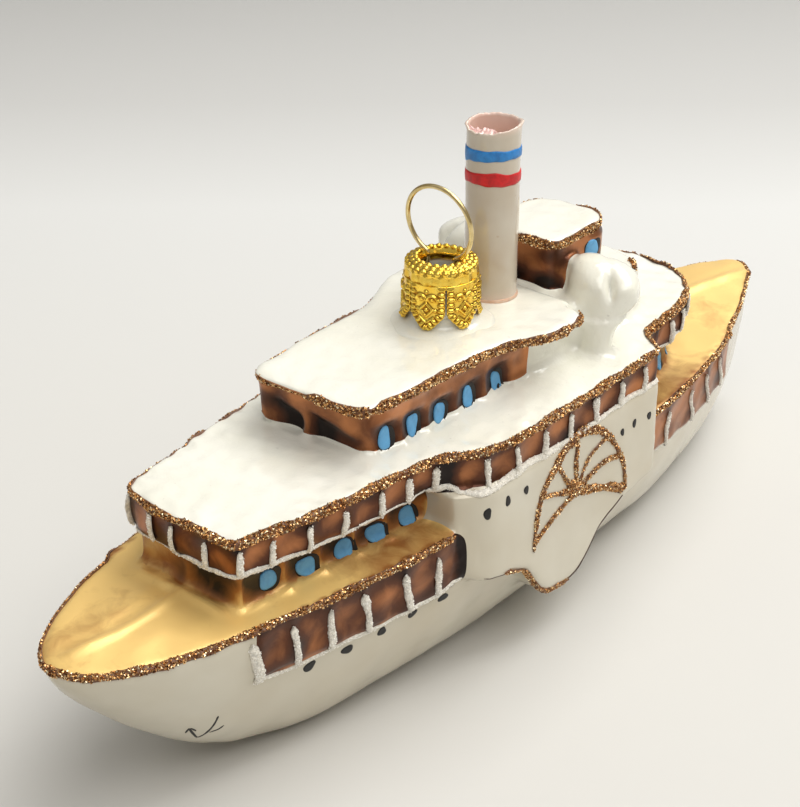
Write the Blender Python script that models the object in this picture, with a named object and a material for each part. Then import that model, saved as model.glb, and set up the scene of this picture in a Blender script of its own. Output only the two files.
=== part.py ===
"""Blown-glass paddle steamer ornament: bow to +X, port to +Y, keel flat on z = 0."""
import bpy
import bmesh
import math
from mathutils import Vector

for old in list(bpy.data.objects):
    bpy.data.objects.remove(old)

MM = 0.001

# Driving dimensions, in millimetres
GAP = 0.3
DECK_Z = 24.0
AFT_DECK_Z = 22.8
DECK_PLATE = 0.8
DECK_RIDGE = 0.7
STRIP_THICK = 0.5
HOUSE_TOP_Z = 28.7
PROMENADE_LOW_Z = 29.0
PROMENADE_Z = 34.0
ROOF_PLATE = 0.9
UPPER_ROOF_Z = 41.5
AFT_ROOF_Z = 48.2
BOX_SIDE_Y = 19.4
CAP_X = 4.75
NECK_OUT_R = 4.2
NECK_BORE_R = 3.2
NECK_LOW_Z = 37.6
NECK_TOP_Z = 48.2
CAP_TIP_R = 5.25
CAP_SHOULDER_Z = 48.9
CAP_TIP_Z = 41.9
CAP_HOLE_R = 2.75
CAP_FACE_Z = 50.2
LOBES = 6
LOOP_R = 5.05
LOOP_Z = 54.95
LOOP_TURN = -89.0
LOOP_LEAN = 5.8
LOOP_FOOT_Z = 49.6
LEG_X = 2.2
LEG_LOW_X = 2.6
LEG_LOW_Z = 39.8
WIRE_R = 0.32
FUNNEL_X = -5.75
FUNNEL_R = 3.55
FUNNEL_WALL = 0.65
FUNNEL_TOP_Z = 65.3

# Hull plan at the deck edge: x, half width
HULL_PLAN = [
    (72.8, 0.35), (72.3, 2.2), (71.4, 3.9), (68.1, 6.7), (63.8, 9.0), (59.0, 10.8),
    (55.0, 11.8), (51.0, 12.3), (44.0, 13.5), (36.5, 14.9), (30.0, 15.9), (22.0, 16.8),
    (10.0, 17.2), (0.0, 17.3), (-12.0, 17.3), (-20.0, 17.1), (-26.0, 16.8),
    (-31.3, 16.0), (-35.6, 15.3), (-40.8, 14.3), (-47.4, 13.0), (-52.4, 11.5),
    (-60.3, 8.3), (-64.5, 6.4), (-68.5, 4.4), (-71.3, 2.4), (-72.4, 1.3), (-72.8, 0.35),
]
# Hull profile on the centre line: x, bottom height
HULL_FOOT = [
    (72.8, 23.0), (72.3, 21.8), (71.4, 20.0), (68.1, 15.8), (63.8, 11.2), (59.0, 7.0),
    (55.0, 4.3), (51.0, 2.3), (44.0, 0.5), (38.0, 0.0), (-57.0, 0.0), (-61.2, 0.9),
    (-64.7, 2.4), (-68.0, 5.0), (-71.0, 9.5), (-72.4, 14.5), (-72.8, 21.0),
]
# Hull flat bottom: x, half width of the flat, fullness of the section
HULL_FLAT = [
    (72.8, 0.1, 1.5), (63.8, 0.5, 1.6), (51.0, 2.4, 1.9), (38.0, 4.5, 2.1),
    (10.0, 5.5, 2.3), (-30.0, 5.5, 2.3), (-49.9, 3.6, 2.1), (-64.7, 1.2, 1.9),
    (-72.8, 0.1, 1.8),
]
HOUSE_FORE_PLAN = [
    (52.0, 0.0), (52.0, 7.4), (51.3, 8.4), (47.0, 8.8), (42.5, 9.2), (34.4, 10.1),
    (26.4, 11.2), (20.8, 11.8), (0.15, 12.0),
]
HOUSE_AFT_PLAN = [
    (-0.15, 12.0), (-19.0, 12.0), (-30.0, 11.8), (-35.0, 10.6), (-38.2, 8.0),
    (-39.8, 4.4), (-40.2, 0.0),
]
PROMENADE_PLAN = [
    (53.0, 0.0), (53.0, 7.6), (52.3, 8.9), (47.9, 10.3), (42.5, 11.5), (36.0, 12.6),
    (30.0, 13.3), (24.2, 13.9), (22.6, 14.6), (20.6, 16.2), (18.0, 17.8), (14.5, 18.8),
    (8.0, 19.1), (0.0, 19.2), (-9.0, 19.2), (-18.2, 19.2), (-19.2, 18.4), (-20.8, 15.9),
    (-22.4, 15.0), (-30.0, 14.3), (-34.0, 13.4), (-37.5, 11.9), (-40.3, 9.6),
    (-42.0, 6.8), (-42.7, 3.4), (-42.8, 0.0),
]
UPPER_HOUSE_PLAN = [
    (29.4, 0.0), (29.3, 5.6), (28.7, 7.7), (27.3, 8.7), (25.0, 9.0), (12.0, 9.6),
    (-0.6, 9.8),
]
BOAT_DECK_PLAN = [
    (-0.9, 9.8), (-2.0, 10.3), (-25.4, 10.2), (-28.2, 9.2), (-30.0, 7.0),
    (-30.8, 3.5), (-31.0, 0.0),
]
UPPER_ROOF_PLAN = [
    (31.2, 0.0), (31.1, 6.5), (30.5, 8.4), (29.0, 9.4), (19.4, 9.9), (9.8, 10.2),
    (6.0, 10.9), (2.6, 12.6), (-1.0, 14.1), (-4.5, 14.3), (-7.6, 13.8), (-8.4, 12.8),
    (-8.8, 10.2), (-10.5, 9.8), (-10.7, 0.0),
]
AFT_HOUSE_PLAN = [
    (-12.2, 0.0), (-12.2, 4.8), (-13.2, 5.6), (-22.0, 5.6), (-23.6, 4.4),
    (-24.3, 2.4), (-24.3, 0.0),
]
AFT_ROOF_PLAN = [
    (-11.6, 0.0), (-11.6, 5.0), (-12.8, 6.2), (-22.2, 6.2), (-24.1, 4.9),
    (-25.0, 2.6), (-25.0, 0.0),
]
# Paddle box side below the promenade: x, height of its lower edge
BOX_LOWER_EDGE = [
    (22.4, 17.4), (19.7, 16.0), (15.6, 15.4), (13.9, 15.0), (11.2, 14.0), (9.2, 11.4),
    (7.8, 9.0), (6.0, 7.7), (3.0, 7.2), (-0.6, 7.5), (-2.8, 9.5), (-5.5, 12.3),
    (-8.6, 13.6), (-11.4, 14.3), (-19.0, 15.1),
]
# Lower edge of the panel strips: x, height
STRIP_LOW = [
    (53.0, 16.8), (22.8, 16.1), (-20.0, 15.9), (-34.0, 14.9), (-45.0, 14.9), (-49.5, 15.6),
]
# Lifeboat and the davit mass under it: height, centre x, centre y, long and short radius
BOAT_RINGS = [
    (34.3, -12.6, 12.9, 2.2, 2.0), (36.5, -12.8, 12.7, 2.2, 1.9), (38.2, -13.5, 12.5, 2.8, 2.4),
    (39.6, -15.2, 11.9, 4.4, 3.5), (41.2, -16.0, 11.4, 5.2, 4.1), (43.0, -16.3, 11.1, 4.9, 3.9),
    (44.6, -16.4, 10.4, 4.1, 3.0), (45.5, -16.4, 10.0, 2.4, 1.6),
]
BOAT_SLANT = 100.0

WHITE = (0.86, 0.85, 0.82, 1.0)
GOLD = (0.80, 0.52, 0.20, 1.0)
BROWN = (0.23, 0.09, 0.04, 1.0)
BRASS = (0.80, 0.55, 0.16, 1.0)
PINK = (0.85, 0.62, 0.56, 1.0)


def material(name, colour, rough, metal=0.0):
    mat = bpy.data.materials.new(name)
    mat.use_nodes = True
    shader = mat.node_tree.nodes["Principled BSDF"]
    shader.inputs["Base Color"].default_value = colour
    shader.inputs["Roughness"].default_value = rough
    shader.inputs["Metallic"].default_value = metal
    return mat


def body(name, verts, faces, mat, origin=(0.0, 0.0, 0.0)):
    mesh = bpy.data.meshes.new(name)
    shift = Vector(origin)
    mesh.from_pydata([(Vector(v) - shift) * MM for v in verts], [], faces)
    bm = bmesh.new()
    bm.from_mesh(mesh)
    bmesh.ops.recalc_face_normals(bm, faces=bm.faces)
    if bm.calc_volume(signed=True) < 0:
        bmesh.ops.reverse_faces(bm, faces=bm.faces)
    bm.to_mesh(mesh)
    bm.free()
    mesh.materials.append(mat)
    obj = bpy.data.objects.new(name, mesh)
    obj.location = shift * MM
    bpy.context.scene.collection.objects.link(obj)
    return obj


def bevel(obj, width, segments=2):
    mod = obj.modifiers.new("soft_edge", "BEVEL")
    mod.width = width * MM
    mod.segments = segments
    mod.limit_method = "ANGLE"
    mod.angle_limit = math.radians(50)
    return mod


def cut(obj, cutter):
    cutter.hide_render = True
    cutter.display_type = "WIRE"
    mod = obj.modifiers.new("cut", "BOOLEAN")
    mod.operation = "DIFFERENCE"
    mod.solver = "EXACT"
    mod.object = cutter


def full_plan(half, inset=0.0):
    port = [(x, max(y - inset, 0.0)) for x, y in half]
    starboard = [(x, -y) for x, y in reversed(port) if y > 0.0]
    return port + starboard


def column(table, x, col):
    for a, b in zip(table, table[1:]):
        if a[0] >= x >= b[0]:
            t = (a[0] - x) / (a[0] - b[0])
            return a[col] + (b[col] - a[col]) * t
    return table[0][col] if x > table[0][0] else table[-1][col]


def loft(name, rings, mat):
    verts = [p for ring in rings for p in ring]
    n = len(rings[0])
    faces = [tuple(range(n)), tuple(range(len(verts) - n, len(verts)))]
    for r in range(len(rings) - 1):
        for i in range(n):
            j = (i + 1) % n
            faces.append((r * n + i, r * n + j, (r + 1) * n + j, (r + 1) * n + i))
    return body(name, verts, faces, mat)


def slab(name, plan, low, high, mat):
    rings = [[(x, y, z) for x, y in plan] for z in (low, high)]
    return loft(name, rings, mat)


def lathe(name, profile, axis_x, steps, mat, origin=(0.0, 0.0, 0.0)):
    verts = []
    n = len(profile)
    for s in range(steps):
        turn = 2 * math.pi * s / steps
        verts += [(axis_x + r * math.cos(turn), r * math.sin(turn), z) for r, z in profile]
    faces = []
    for s in range(steps):
        t = (s + 1) % steps
        for i in range(n):
            j = (i + 1) % n
            faces.append((s * n + i, s * n + j, t * n + j, t * n + i))
    return body(name, verts, faces, mat, origin)


def hull_half_width(x, z, grow=0.0):
    foot = column(HULL_FOOT, x, 1)
    flat = column(HULL_FLAT, x, 1)
    power = column(HULL_FLAT, x, 2)
    wide = column(HULL_PLAN, x, 1)
    rise = min(max((z - foot) / (DECK_Z - foot), 0.0), 1.0)
    side = (1.0 - (1.0 - rise) ** power) ** (1.0 / power)
    return flat + (wide - flat) * side + grow


def deck_level(x):
    share = min(max(x / 3.0, 0.0), 1.0)
    return AFT_DECK_Z + (DECK_Z - AFT_DECK_Z) * share


def hull_ring(x, above_deck, grow):
    top = deck_level(x) + above_deck
    foot = min(column(HULL_FOOT, x, 1), top - 0.6)
    half = []
    for i in range(13):
        turn = math.radians(90.0 * i / 12)
        z = foot + (top - foot) * (1.0 - math.sin(turn) ** 0.9)
        half.append((x, hull_half_width(x, z, grow), z))
    half[-1] = (x, half[-1][1], foot - grow)
    return half + [(px, -py, pz) for px, py, pz in reversed(half)]


def hull_form(name, above_deck, grow, mat):
    stations = sorted({x for x, _ in HULL_PLAN} | {x for x, _ in HULL_FOOT} | {3.0}, reverse=True)
    return loft(name, [hull_ring(x, above_deck, grow) for x in stations], mat)


def build_hull():
    return hull_form("hull", -DECK_PLATE - GAP, 0.0, material("hull_white", WHITE, 0.25))


def deck_height(x, y, tip_x, house_x):
    wide = max(column(HULL_PLAN, x, 1), 1.0)
    near_tip = min(abs(tip_x - x) / 6.0, 1.0)
    clear = (x - house_x) * (1 if tip_x > house_x else -1)
    near_house = min(max(clear / 1.5, 0.0), 1.0)
    return deck_level(x) + DECK_RIDGE * near_tip * near_house * (1.0 - abs(y) / wide)


def build_deck(name, xs, tip_x, house_x, mat):
    rings = []
    for x in xs:
        wide = column(HULL_PLAN, x, 1) - 0.1
        low = deck_level(x) - DECK_PLATE
        across = [wide * k for k in (1, 0.5, 0, -0.5, -1)]
        top = [(x, y, deck_height(x, y, tip_x, house_x)) for y in across]
        rings.append(top + [(x, -wide, low), (x, wide, low)])
    return loft(name, rings, mat)


def build_decks():
    mat = material("deck_gold", GOLD, 0.3, 0.6)
    fore = [72.6, 72.0, 70.0, 66.0, 60.0, 54.5, 53.8, 52.3, 44.0, 36.5, 30.0, 22.0, 10.0,
            3.0, 0.15]
    aft = [-0.15, -12.0, -24.0, -33.3, -40.4, -42.0, -44.4, -49.9, -57.7, -64.7, -68.5, -71.3,
           -72.6]
    build_deck("foredeck", fore, 72.8, 52.3, mat)
    build_deck("aft_deck", aft, -72.8, -40.4, mat)


def build_bulwark(name, x_start, x_end, side, mat):
    rings = []
    count = 14
    high = deck_level(x_end) + 0.1
    for i in range(count + 1):
        x = x_start + (x_end - x_start) * i / count
        low = column(STRIP_LOW, x, 1)
        levels = [low + (high - low) * k / 4 for k in range(5)]
        inner = [(x, side * hull_half_width(x, z, GAP), z) for z in levels]
        outer = [(x, side * hull_half_width(x, z, GAP + STRIP_THICK), z) for z in levels]
        rings.append(outer + inner[::-1])
    return loft(name, rings, mat)


def build_bulwarks():
    mat = material("panel_brown", BROWN, 0.3, 0.4)
    for side, word in ((1, "port"), (-1, "starboard")):
        build_bulwark("bulwark_fore_" + word, 53.0, 22.8, side, mat)
        build_bulwark("bulwark_aft_" + word, -20.0, -49.5, side, mat)


def build_houses():
    brown = material("house_brown", BROWN, 0.35, 0.3)
    white = material("roof_white", WHITE, 0.15)
    fore = slab("deckhouse_fore", full_plan(HOUSE_FORE_PLAN), DECK_Z + GAP, HOUSE_TOP_Z, brown)
    bevel(fore, 0.3)
    rear = slab("deckhouse_aft", full_plan(HOUSE_AFT_PLAN), AFT_DECK_Z + GAP, HOUSE_TOP_Z, brown)
    bevel(rear, 0.3)
    ring = slab("promenade_wall", full_plan(PROMENADE_PLAN, 0.2), PROMENADE_LOW_Z,
                PROMENADE_Z - ROOF_PLATE - GAP, brown)
    bevel(ring, 0.3)
    roof = slab("promenade_roof", full_plan(PROMENADE_PLAN), PROMENADE_Z - ROOF_PLATE,
                PROMENADE_Z, white)
    bevel(roof, 0.3)
    upper = slab("upper_house", full_plan(UPPER_HOUSE_PLAN), PROMENADE_Z + GAP,
                 UPPER_ROOF_Z - ROOF_PLATE - GAP, brown)
    bevel(upper, 0.3)
    block = slab("boat_deck", full_plan(BOAT_DECK_PLAN), PROMENADE_Z + GAP,
                 UPPER_ROOF_Z - ROOF_PLATE - GAP, white)
    bevel(block, 0.3)
    top = slab("upper_roof", full_plan(UPPER_ROOF_PLAN), UPPER_ROOF_Z - ROOF_PLATE,
               UPPER_ROOF_Z, white)
    bevel(top, 0.3)
    aft = slab("aft_house", full_plan(AFT_HOUSE_PLAN), UPPER_ROOF_Z - ROOF_PLATE,
               AFT_ROOF_Z - ROOF_PLATE - GAP, brown)
    bevel(aft, 0.3)
    lid = slab("aft_house_roof", full_plan(AFT_ROOF_PLAN), AFT_ROOF_Z - ROOF_PLATE,
               AFT_ROOF_Z, white)
    bevel(lid, 0.3)
    hole = lathe_cylinder("neck_hole", CAP_X, NECK_OUT_R + GAP, NECK_LOW_Z - GAP, 43.0, white)
    cut(upper, hole)
    cut(top, hole)


def lathe_cylinder(name, axis_x, radius, low, high, mat):
    ring = [(axis_x + radius * math.cos(math.radians(7.5 * s)),
             radius * math.sin(math.radians(7.5 * s))) for s in range(48)]
    return slab(name, ring, low, high, mat)


def box_side(x, z):
    fore = max(0.0, x - 16.0) / 6.4
    top = PROMENADE_LOW_Z - GAP
    return BOX_SIDE_Y - 3.2 * fore * fore + 0.5 * (top - z) / (top - 7.2)


def build_paddle_boxes():
    mat = material("box_white", WHITE, 0.25)
    cutter = hull_form("hull_clearance", GAP, GAP, mat)
    top = PROMENADE_LOW_Z - GAP
    stations = [22.4 - 41.4 * i / 46 for i in range(47)]
    for side, word in ((1, "port"), (-1, "starboard")):
        rings = []
        for x in stations:
            low = column(BOX_LOWER_EDGE, x, 1)
            levels = [low + (top - low) * k / 6 for k in range(7)]
            outer = [(x, side * box_side(x, z), z) for z in levels]
            rings.append(outer + [(x, side * 12.4, top), (x, side * 12.4, low)])
        box = loft("paddle_box_" + word, rings, mat)
        cut(box, cutter)


def build_boats():
    mat = material("boat_white", WHITE, 0.2)
    clearance = slab("boat_deck_clearance", full_plan(BOAT_DECK_PLAN, -GAP), PROMENADE_Z - 1.0,
                     UPPER_ROOF_Z - ROOF_PLATE, mat)
    slant = math.radians(BOAT_SLANT)
    for side, word in ((1, "port"), (-1, "starboard")):
        rings = []
        for z, mid_x, mid_y, long_r, short_r in BOAT_RINGS:
            ring = []
            for s in range(20):
                turn = 2 * math.pi * s / 20
                u, v = long_r * math.cos(turn), short_r * math.sin(turn)
                x = mid_x + u * math.cos(slant) - v * math.sin(slant)
                y = mid_y + u * math.sin(slant) + v * math.cos(slant)
                ring.append((x, side * y, z))
            rings.append(ring)
        boat = loft("lifeboat_" + word, rings, mat)
        cut(boat, clearance)


def build_neck_and_funnel():
    glass = material("neck_glass", (0.80, 0.80, 0.78, 1.0), 0.1)
    neck = [(NECK_BORE_R, NECK_LOW_Z), (NECK_OUT_R, NECK_LOW_Z), (NECK_OUT_R, NECK_TOP_Z - 0.3),
            (NECK_OUT_R - 0.3, NECK_TOP_Z), (NECK_BORE_R + 0.2, NECK_TOP_Z),
            (NECK_BORE_R, NECK_TOP_Z - 0.2)]
    lathe("neck", neck, CAP_X, 48, glass)
    white = material("funnel_white", WHITE, 0.12)
    low = UPPER_ROOF_Z + GAP
    inner = FUNNEL_R - FUNNEL_WALL
    funnel = [(inner, low), (FUNNEL_R, low), (FUNNEL_R, FUNNEL_TOP_Z - 0.3),
              (FUNNEL_R - 0.2, FUNNEL_TOP_Z), (inner + 0.2, FUNNEL_TOP_Z), (inner, FUNNEL_TOP_Z - 0.3)]
    lathe("funnel", funnel, FUNNEL_X, 48, white)
    pink = material("glue_pink", PINK, 0.3)
    ring = [(FUNNEL_R + GAP, low), (FUNNEL_R + 1.0, low), (FUNNEL_R + 0.8, low + 0.4),
            (FUNNEL_R + GAP, low + 0.7)]
    lathe("funnel_glue", ring, FUNNEL_X, 48, pink)


def build_cap():
    mat = material("cap_brass", BRASS, 0.25, 1.0)
    outer = [
        (CAP_HOLE_R, CAP_FACE_Z), (3.4, CAP_FACE_Z + 0.1), (4.2, 49.9), (4.75, 49.35),
        (4.95, CAP_SHOULDER_Z), (4.95, 47.6), (4.98, 46.0), (5.02, 44.6),
    ]
    inner = [(4.62, 44.6), (4.58, 46.0), (4.55, 47.6), (4.52, CAP_SHOULDER_Z - 0.2), (4.3, 49.1),
             (3.9, 49.5), (3.3, 49.85), (CAP_HOLE_R, 49.85)]
    steps = 96
    verts = []
    for s in range(steps):
        turn = 2 * math.pi * s / steps
        lobe = abs(math.cos(LOBES / 2 * turn)) ** 0.45
        tip = 44.4 - (44.4 - CAP_TIP_Z) * lobe
        ring = outer + [(CAP_TIP_R, tip), (CAP_TIP_R - 0.4, tip)] + inner
        for r, z in ring:
            verts.append((CAP_X + r * math.cos(turn), r * math.sin(turn), z))
    n = len(outer) + len(inner) + 2
    faces = []
    for s in range(steps):
        t = (s + 1) % steps
        for i in range(n):
            j = (i + 1) % n
            faces.append((s * n + i, s * n + j, t * n + j, t * n + i))
    return body("cap_crown", verts, faces, mat, (CAP_X, 0.0, CAP_SHOULDER_Z))


def wire_path():
    path = [(-LEG_LOW_X, LEG_LOW_Z), (-LEG_LOW_X, 44.0), (-LEG_X, LOOP_FOOT_Z)]
    start = math.degrees(math.acos(-LEG_X / LOOP_R))
    for i in range(29):
        turn = math.radians(-start - (540.0 - 2 * start) * i / 28)
        path.append((LOOP_R * math.cos(turn), LOOP_Z + LOOP_R * math.sin(turn)))
    path += [(LEG_X, LOOP_FOOT_Z), (LEG_LOW_X, 44.0), (LEG_LOW_X, LEG_LOW_Z)]
    return path


def build_hanger():
    mat = material("wire_brass", BRASS, 0.2, 1.0)
    path = wire_path()
    yaw = math.radians(LOOP_TURN)
    lean = math.tan(math.radians(LOOP_LEAN))
    verts = []
    sides = 12
    for i, (u, z) in enumerate(path):
        before = path[max(i - 1, 0)]
        after = path[min(i + 1, len(path) - 1)]
        along = Vector((after[0] - before[0], 0.0, after[1] - before[1])).normalized()
        across = Vector((along.z, 0.0, -along.x))
        for s in range(sides):
            turn = 2 * math.pi * s / sides
            out = across * math.cos(turn) + Vector((0.0, 1.0, 0.0)) * math.sin(turn)
            forward = max(z - LOOP_FOOT_Z, 0.0) * lean
            p = Vector((u, forward, z)) + out * WIRE_R
            x = CAP_X + p.x * math.cos(yaw) - p.y * math.sin(yaw)
            y = p.x * math.sin(yaw) + p.y * math.cos(yaw)
            verts.append((x, y, p.z))
    faces = [tuple(range(sides)), tuple(range(len(verts) - sides, len(verts)))]
    for r in range(len(path) - 1):
        for i in range(sides):
            j = (i + 1) % sides
            faces.append((r * sides + i, r * sides + j, (r + 1) * sides + j, (r + 1) * sides + i))
    return body("hanger", verts, faces, mat, (CAP_X, 0.0, CAP_SHOULDER_Z))


build_hull()
build_decks()
build_bulwarks()
build_houses()
build_paddle_boxes()
build_boats()
build_neck_and_funnel()
build_cap()
build_hanger()
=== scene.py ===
# %% [markdown]
# # A blown-glass paddle steamer
# The object is a hanging ornament about 146 mm long: one mould-blown glass figure, silvered and lacquered in
# pearl white, gold and brown, with a glass tube glued on as its funnel, a stamped crown cap and a wire loop.
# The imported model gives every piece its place. This script gives the pieces their melted forms, their paint
# and their glitter. All lengths below are millimetres until a mesh is written in metres.

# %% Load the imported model
import math
import bmesh
import bpy
import numpy as np
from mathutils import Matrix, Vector
from mathutils.bvhtree import BVHTree


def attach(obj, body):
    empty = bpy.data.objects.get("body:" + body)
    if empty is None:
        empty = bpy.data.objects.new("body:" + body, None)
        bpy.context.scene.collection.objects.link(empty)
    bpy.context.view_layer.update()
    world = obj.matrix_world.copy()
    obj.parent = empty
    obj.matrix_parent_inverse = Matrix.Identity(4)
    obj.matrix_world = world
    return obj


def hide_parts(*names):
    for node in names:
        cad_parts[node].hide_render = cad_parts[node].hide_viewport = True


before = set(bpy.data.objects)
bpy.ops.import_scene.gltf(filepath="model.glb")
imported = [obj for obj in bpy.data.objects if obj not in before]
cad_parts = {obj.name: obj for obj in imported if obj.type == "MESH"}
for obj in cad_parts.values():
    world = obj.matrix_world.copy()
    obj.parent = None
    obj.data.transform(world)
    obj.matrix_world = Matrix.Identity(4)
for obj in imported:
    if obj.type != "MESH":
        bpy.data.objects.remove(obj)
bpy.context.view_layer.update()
MM = 0.001

# %% [markdown]
# ## Camera
# The photograph looks down on the port bow. The camera's place and lens come from a fit of the cap, the
# roofs and the deck edge to the picture, so a point of the model lands on the same point of the photograph.

# %% Camera
EYE = Vector((175.254, 135.161, 148.261)) * MM
HEADING = math.radians(39.80)
PITCH = math.radians(28.78)
LENS, SENSOR, NEAREST_SEEN = 83.18, 36.0, 0.01

def add_camera():
    data = bpy.data.cameras.new("camera")
    data.lens = LENS
    data.sensor_width = SENSOR
    data.clip_start = NEAREST_SEEN
    camera = bpy.data.objects.new("camera", data)
    level = math.cos(PITCH)
    look = -Vector((math.cos(HEADING) * level, math.sin(HEADING) * level, math.sin(PITCH)))
    camera.location = EYE
    camera.rotation_euler = look.to_track_quat("-Z", "Y").to_euler()
    bpy.context.scene.collection.objects.link(camera)
    bpy.context.scene.camera = camera
    return camera

camera = add_camera()
print("camera", [round(v, 4) for v in camera.location], "lens", camera.data.lens)

# %% [markdown]
# ## Materials
# Every finish is a node material. A small helper makes a Principled shader and sets the numbers that are
# the same all over straight on its sockets. Noise textures then vary what the real paint varies.

# %% Material helpers
def shader_of(mat):
    return mat.node_tree.nodes["Principled BSDF"]

def feed(mat, socket, value):
    if isinstance(value, bpy.types.NodeSocket):
        mat.node_tree.links.new(value, socket)
    else:
        socket.default_value = value

def feed_shader(mat, socket, value):
    feed(mat, shader_of(mat).inputs[socket], value)

def new_material(name, colour, rough, metal=0.0, **sockets):
    mat = bpy.data.materials.new(name)
    mat.use_nodes = True
    feed_shader(mat, "Base Color", (*colour, 1.0))
    feed_shader(mat, "Roughness", rough)
    feed_shader(mat, "Metallic", metal)
    for socket, value in sockets.items():
        feed_shader(mat, socket.replace("_", " "), value)
    return mat

def add_node(mat, kind, inputs=(), **settings):
    node = mat.node_tree.nodes.new(kind)
    for key, value in settings.items():
        setattr(node, key, value)
    for socket, value in dict(inputs).items():
        feed(mat, node.inputs[socket], value)
    return node

def object_place(mat):
    return add_node(mat, "ShaderNodeTexCoord").outputs["Object"]

def attribute(mat, name):
    return add_node(mat, "ShaderNodeAttribute", attribute_name=name).outputs["Fac"]

print("node helpers ready")

# %% Textures and tones
def noise(mat, scale, detail=3.0, rough=0.55, warp=0.0):
    inputs = {"Scale": scale, "Detail": detail, "Roughness": rough, "Distortion": warp}
    inputs["Vector"] = object_place(mat)
    return add_node(mat, "ShaderNodeTexNoise", inputs).outputs["Fac"]

def ramp(mat, factor, stops):
    node = add_node(mat, "ShaderNodeValToRGB", {"Fac": factor})
    elements = node.color_ramp.elements
    while len(elements) < len(stops):
        elements.new(0.5)
    for element, (place, colour) in zip(elements, stops):
        element.position = place
        element.color = (*colour, 1.0)
    return node.outputs["Color"]

def bump(mat, height, strength, distance):
    inputs = {"Strength": strength, "Distance": distance, "Height": height}
    feed_shader(mat, "Normal", add_node(mat, "ShaderNodeBump", inputs).outputs["Normal"])

def rough_between(mat, factor, low, high):
    inputs = {"To Min": low, "To Max": high, "Value": factor}
    feed_shader(mat, "Roughness", add_node(mat, "ShaderNodeMapRange", inputs).outputs["Result"])

def mixed(mat, factor, first, second):
    inputs = {0: factor, 6: first, 7: second}
    return add_node(mat, "ShaderNodeMix", inputs, data_type="RGBA").outputs[2]

def coloured(mat, colour):
    feed_shader(mat, "Base Color", colour)

def two_tones(mat, factor, first, second, low=0.3, high=0.7):
    return ramp(mat, factor, [(low, first), (high, second)])

def clouded(mat, factor, first, second, strength, distance, high=0.7):
    coloured(mat, two_tones(mat, factor, first, second, high=high))
    bump(mat, factor, strength, distance)
    return mat

WHITE, BLACK = (1.0, 1.0, 1.0), (0.0, 0.0, 0.0)

def dusted(mat, scale, limit, clean, dust):
    specks = two_tones(mat, noise(mat, scale, 1.0), WHITE, BLACK, 0.0, limit)
    return mixed(mat, specks, clean, dust)

print("tones from", BLACK, "to", WHITE)

# %% [markdown]
# Thick white enamel covers the roofs. It is glossy and slightly warm, with a few grey specks where dust was
# caught in it. The hull has a thinner pearl lacquer over silvered glass, so it is greyer and a little
# metallic.

# %% White enamel and pearl lacquer
def enamel_material():
    mat = new_material("white_enamel", (0.87, 0.865, 0.77), 0.12, Coat_Weight=0.6, Coat_Roughness=0.04)
    clouds = noise(mat, 90.0)
    cream = two_tones(mat, clouds, (0.83, 0.82, 0.71), (0.885, 0.88, 0.80))
    grey = two_tones(mat, clouds, (0.45, 0.42, 0.38), (0.55, 0.52, 0.47), 0.0, 1.0)
    coloured(mat, dusted(mat, 1500.0, 0.26, cream, grey))
    rough_between(mat, clouds, 0.08, 0.18)
    bump(mat, noise(mat, 420.0, 3.0), 0.3, 0.0005)
    return mat

def pearl_material():
    mat = new_material("pearl_lacquer", (0.68, 0.62, 0.49), 0.24, 0.1, Coat_Weight=0.35, Coat_Roughness=0.06)
    clouds = noise(mat, 55.0)
    coloured(mat, two_tones(mat, clouds, (0.585, 0.52, 0.39), (0.675, 0.635, 0.525)))
    rough_between(mat, clouds, 0.18, 0.30)
    bump(mat, noise(mat, 180.0, 2.0), 0.25, 0.0005)
    return mat

enamel = enamel_material()
pearl = pearl_material()
print("white finishes", enamel.name, pearl.name)

# %% [markdown]
# The decks are gold lacquer over silvered glass. The walls are the same gold under a brown glaze. A number
# stored on each point of the mesh says how much brown lies there. The same number also carries painted light:
# painted shade that darkens hollows, corners, the walls under the overhangs and parts of the decks, and
# painted highlights that lighten the middle of the panels.

# %% Gold and brown glaze
def glazed_material(name, warm, deep, dark, metal, glossy, dull):
    mat = new_material(name, warm, glossy, metal, Coat_Weight=0.15, Coat_Roughness=0.12)
    clouds = noise(mat, 330.0, 4.0, 0.6, 0.6)
    stir = add_node(mat, "ShaderNodeMath", {0: clouds, 1: 0.5, 2: -0.25}, operation="MULTIPLY_ADD")
    both = {0: stir.outputs[0], 1: attribute(mat, "glaze_and_shading")}
    total = add_node(mat, "ShaderNodeMath", both, operation="ADD", use_clamp=True)
    coloured(mat, ramp(mat, total.outputs[0], [(0.10, warm), (0.5, deep), (0.95, dark)]))
    rough_between(mat, clouds, glossy, dull)
    bump(mat, noise(mat, 240.0, 2.0), 0.25, 0.0004)
    return mat

GOLD = (0.94, 0.64, 0.22)
AMBER = (0.36, 0.14, 0.03)
COPPER = (0.47, 0.18, 0.065)
UMBER = (0.11, 0.035, 0.014)
NIGHT = (0.010, 0.004, 0.003)

gold_glaze = glazed_material("gold_lacquer", GOLD, AMBER, NIGHT, 0.38, 0.38, 0.5)
brown_glaze = glazed_material("brown_glaze", COPPER, UMBER, NIGHT, 0.75, 0.27, 0.42)
print("glazes", gold_glaze.name, brown_glaze.name)

# %% [markdown]
# ## The glass figure
# On the real ornament hull, decks, houses and roofs are one skin of glass, so every edge is rounded and
# every corner is filled. Separate hard solids can't show that. The solids are swollen a little so that they
# overlap, joined by a voxel remesh into one skin, and smoothed. The skin is later cut into named pieces
# again.

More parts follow.
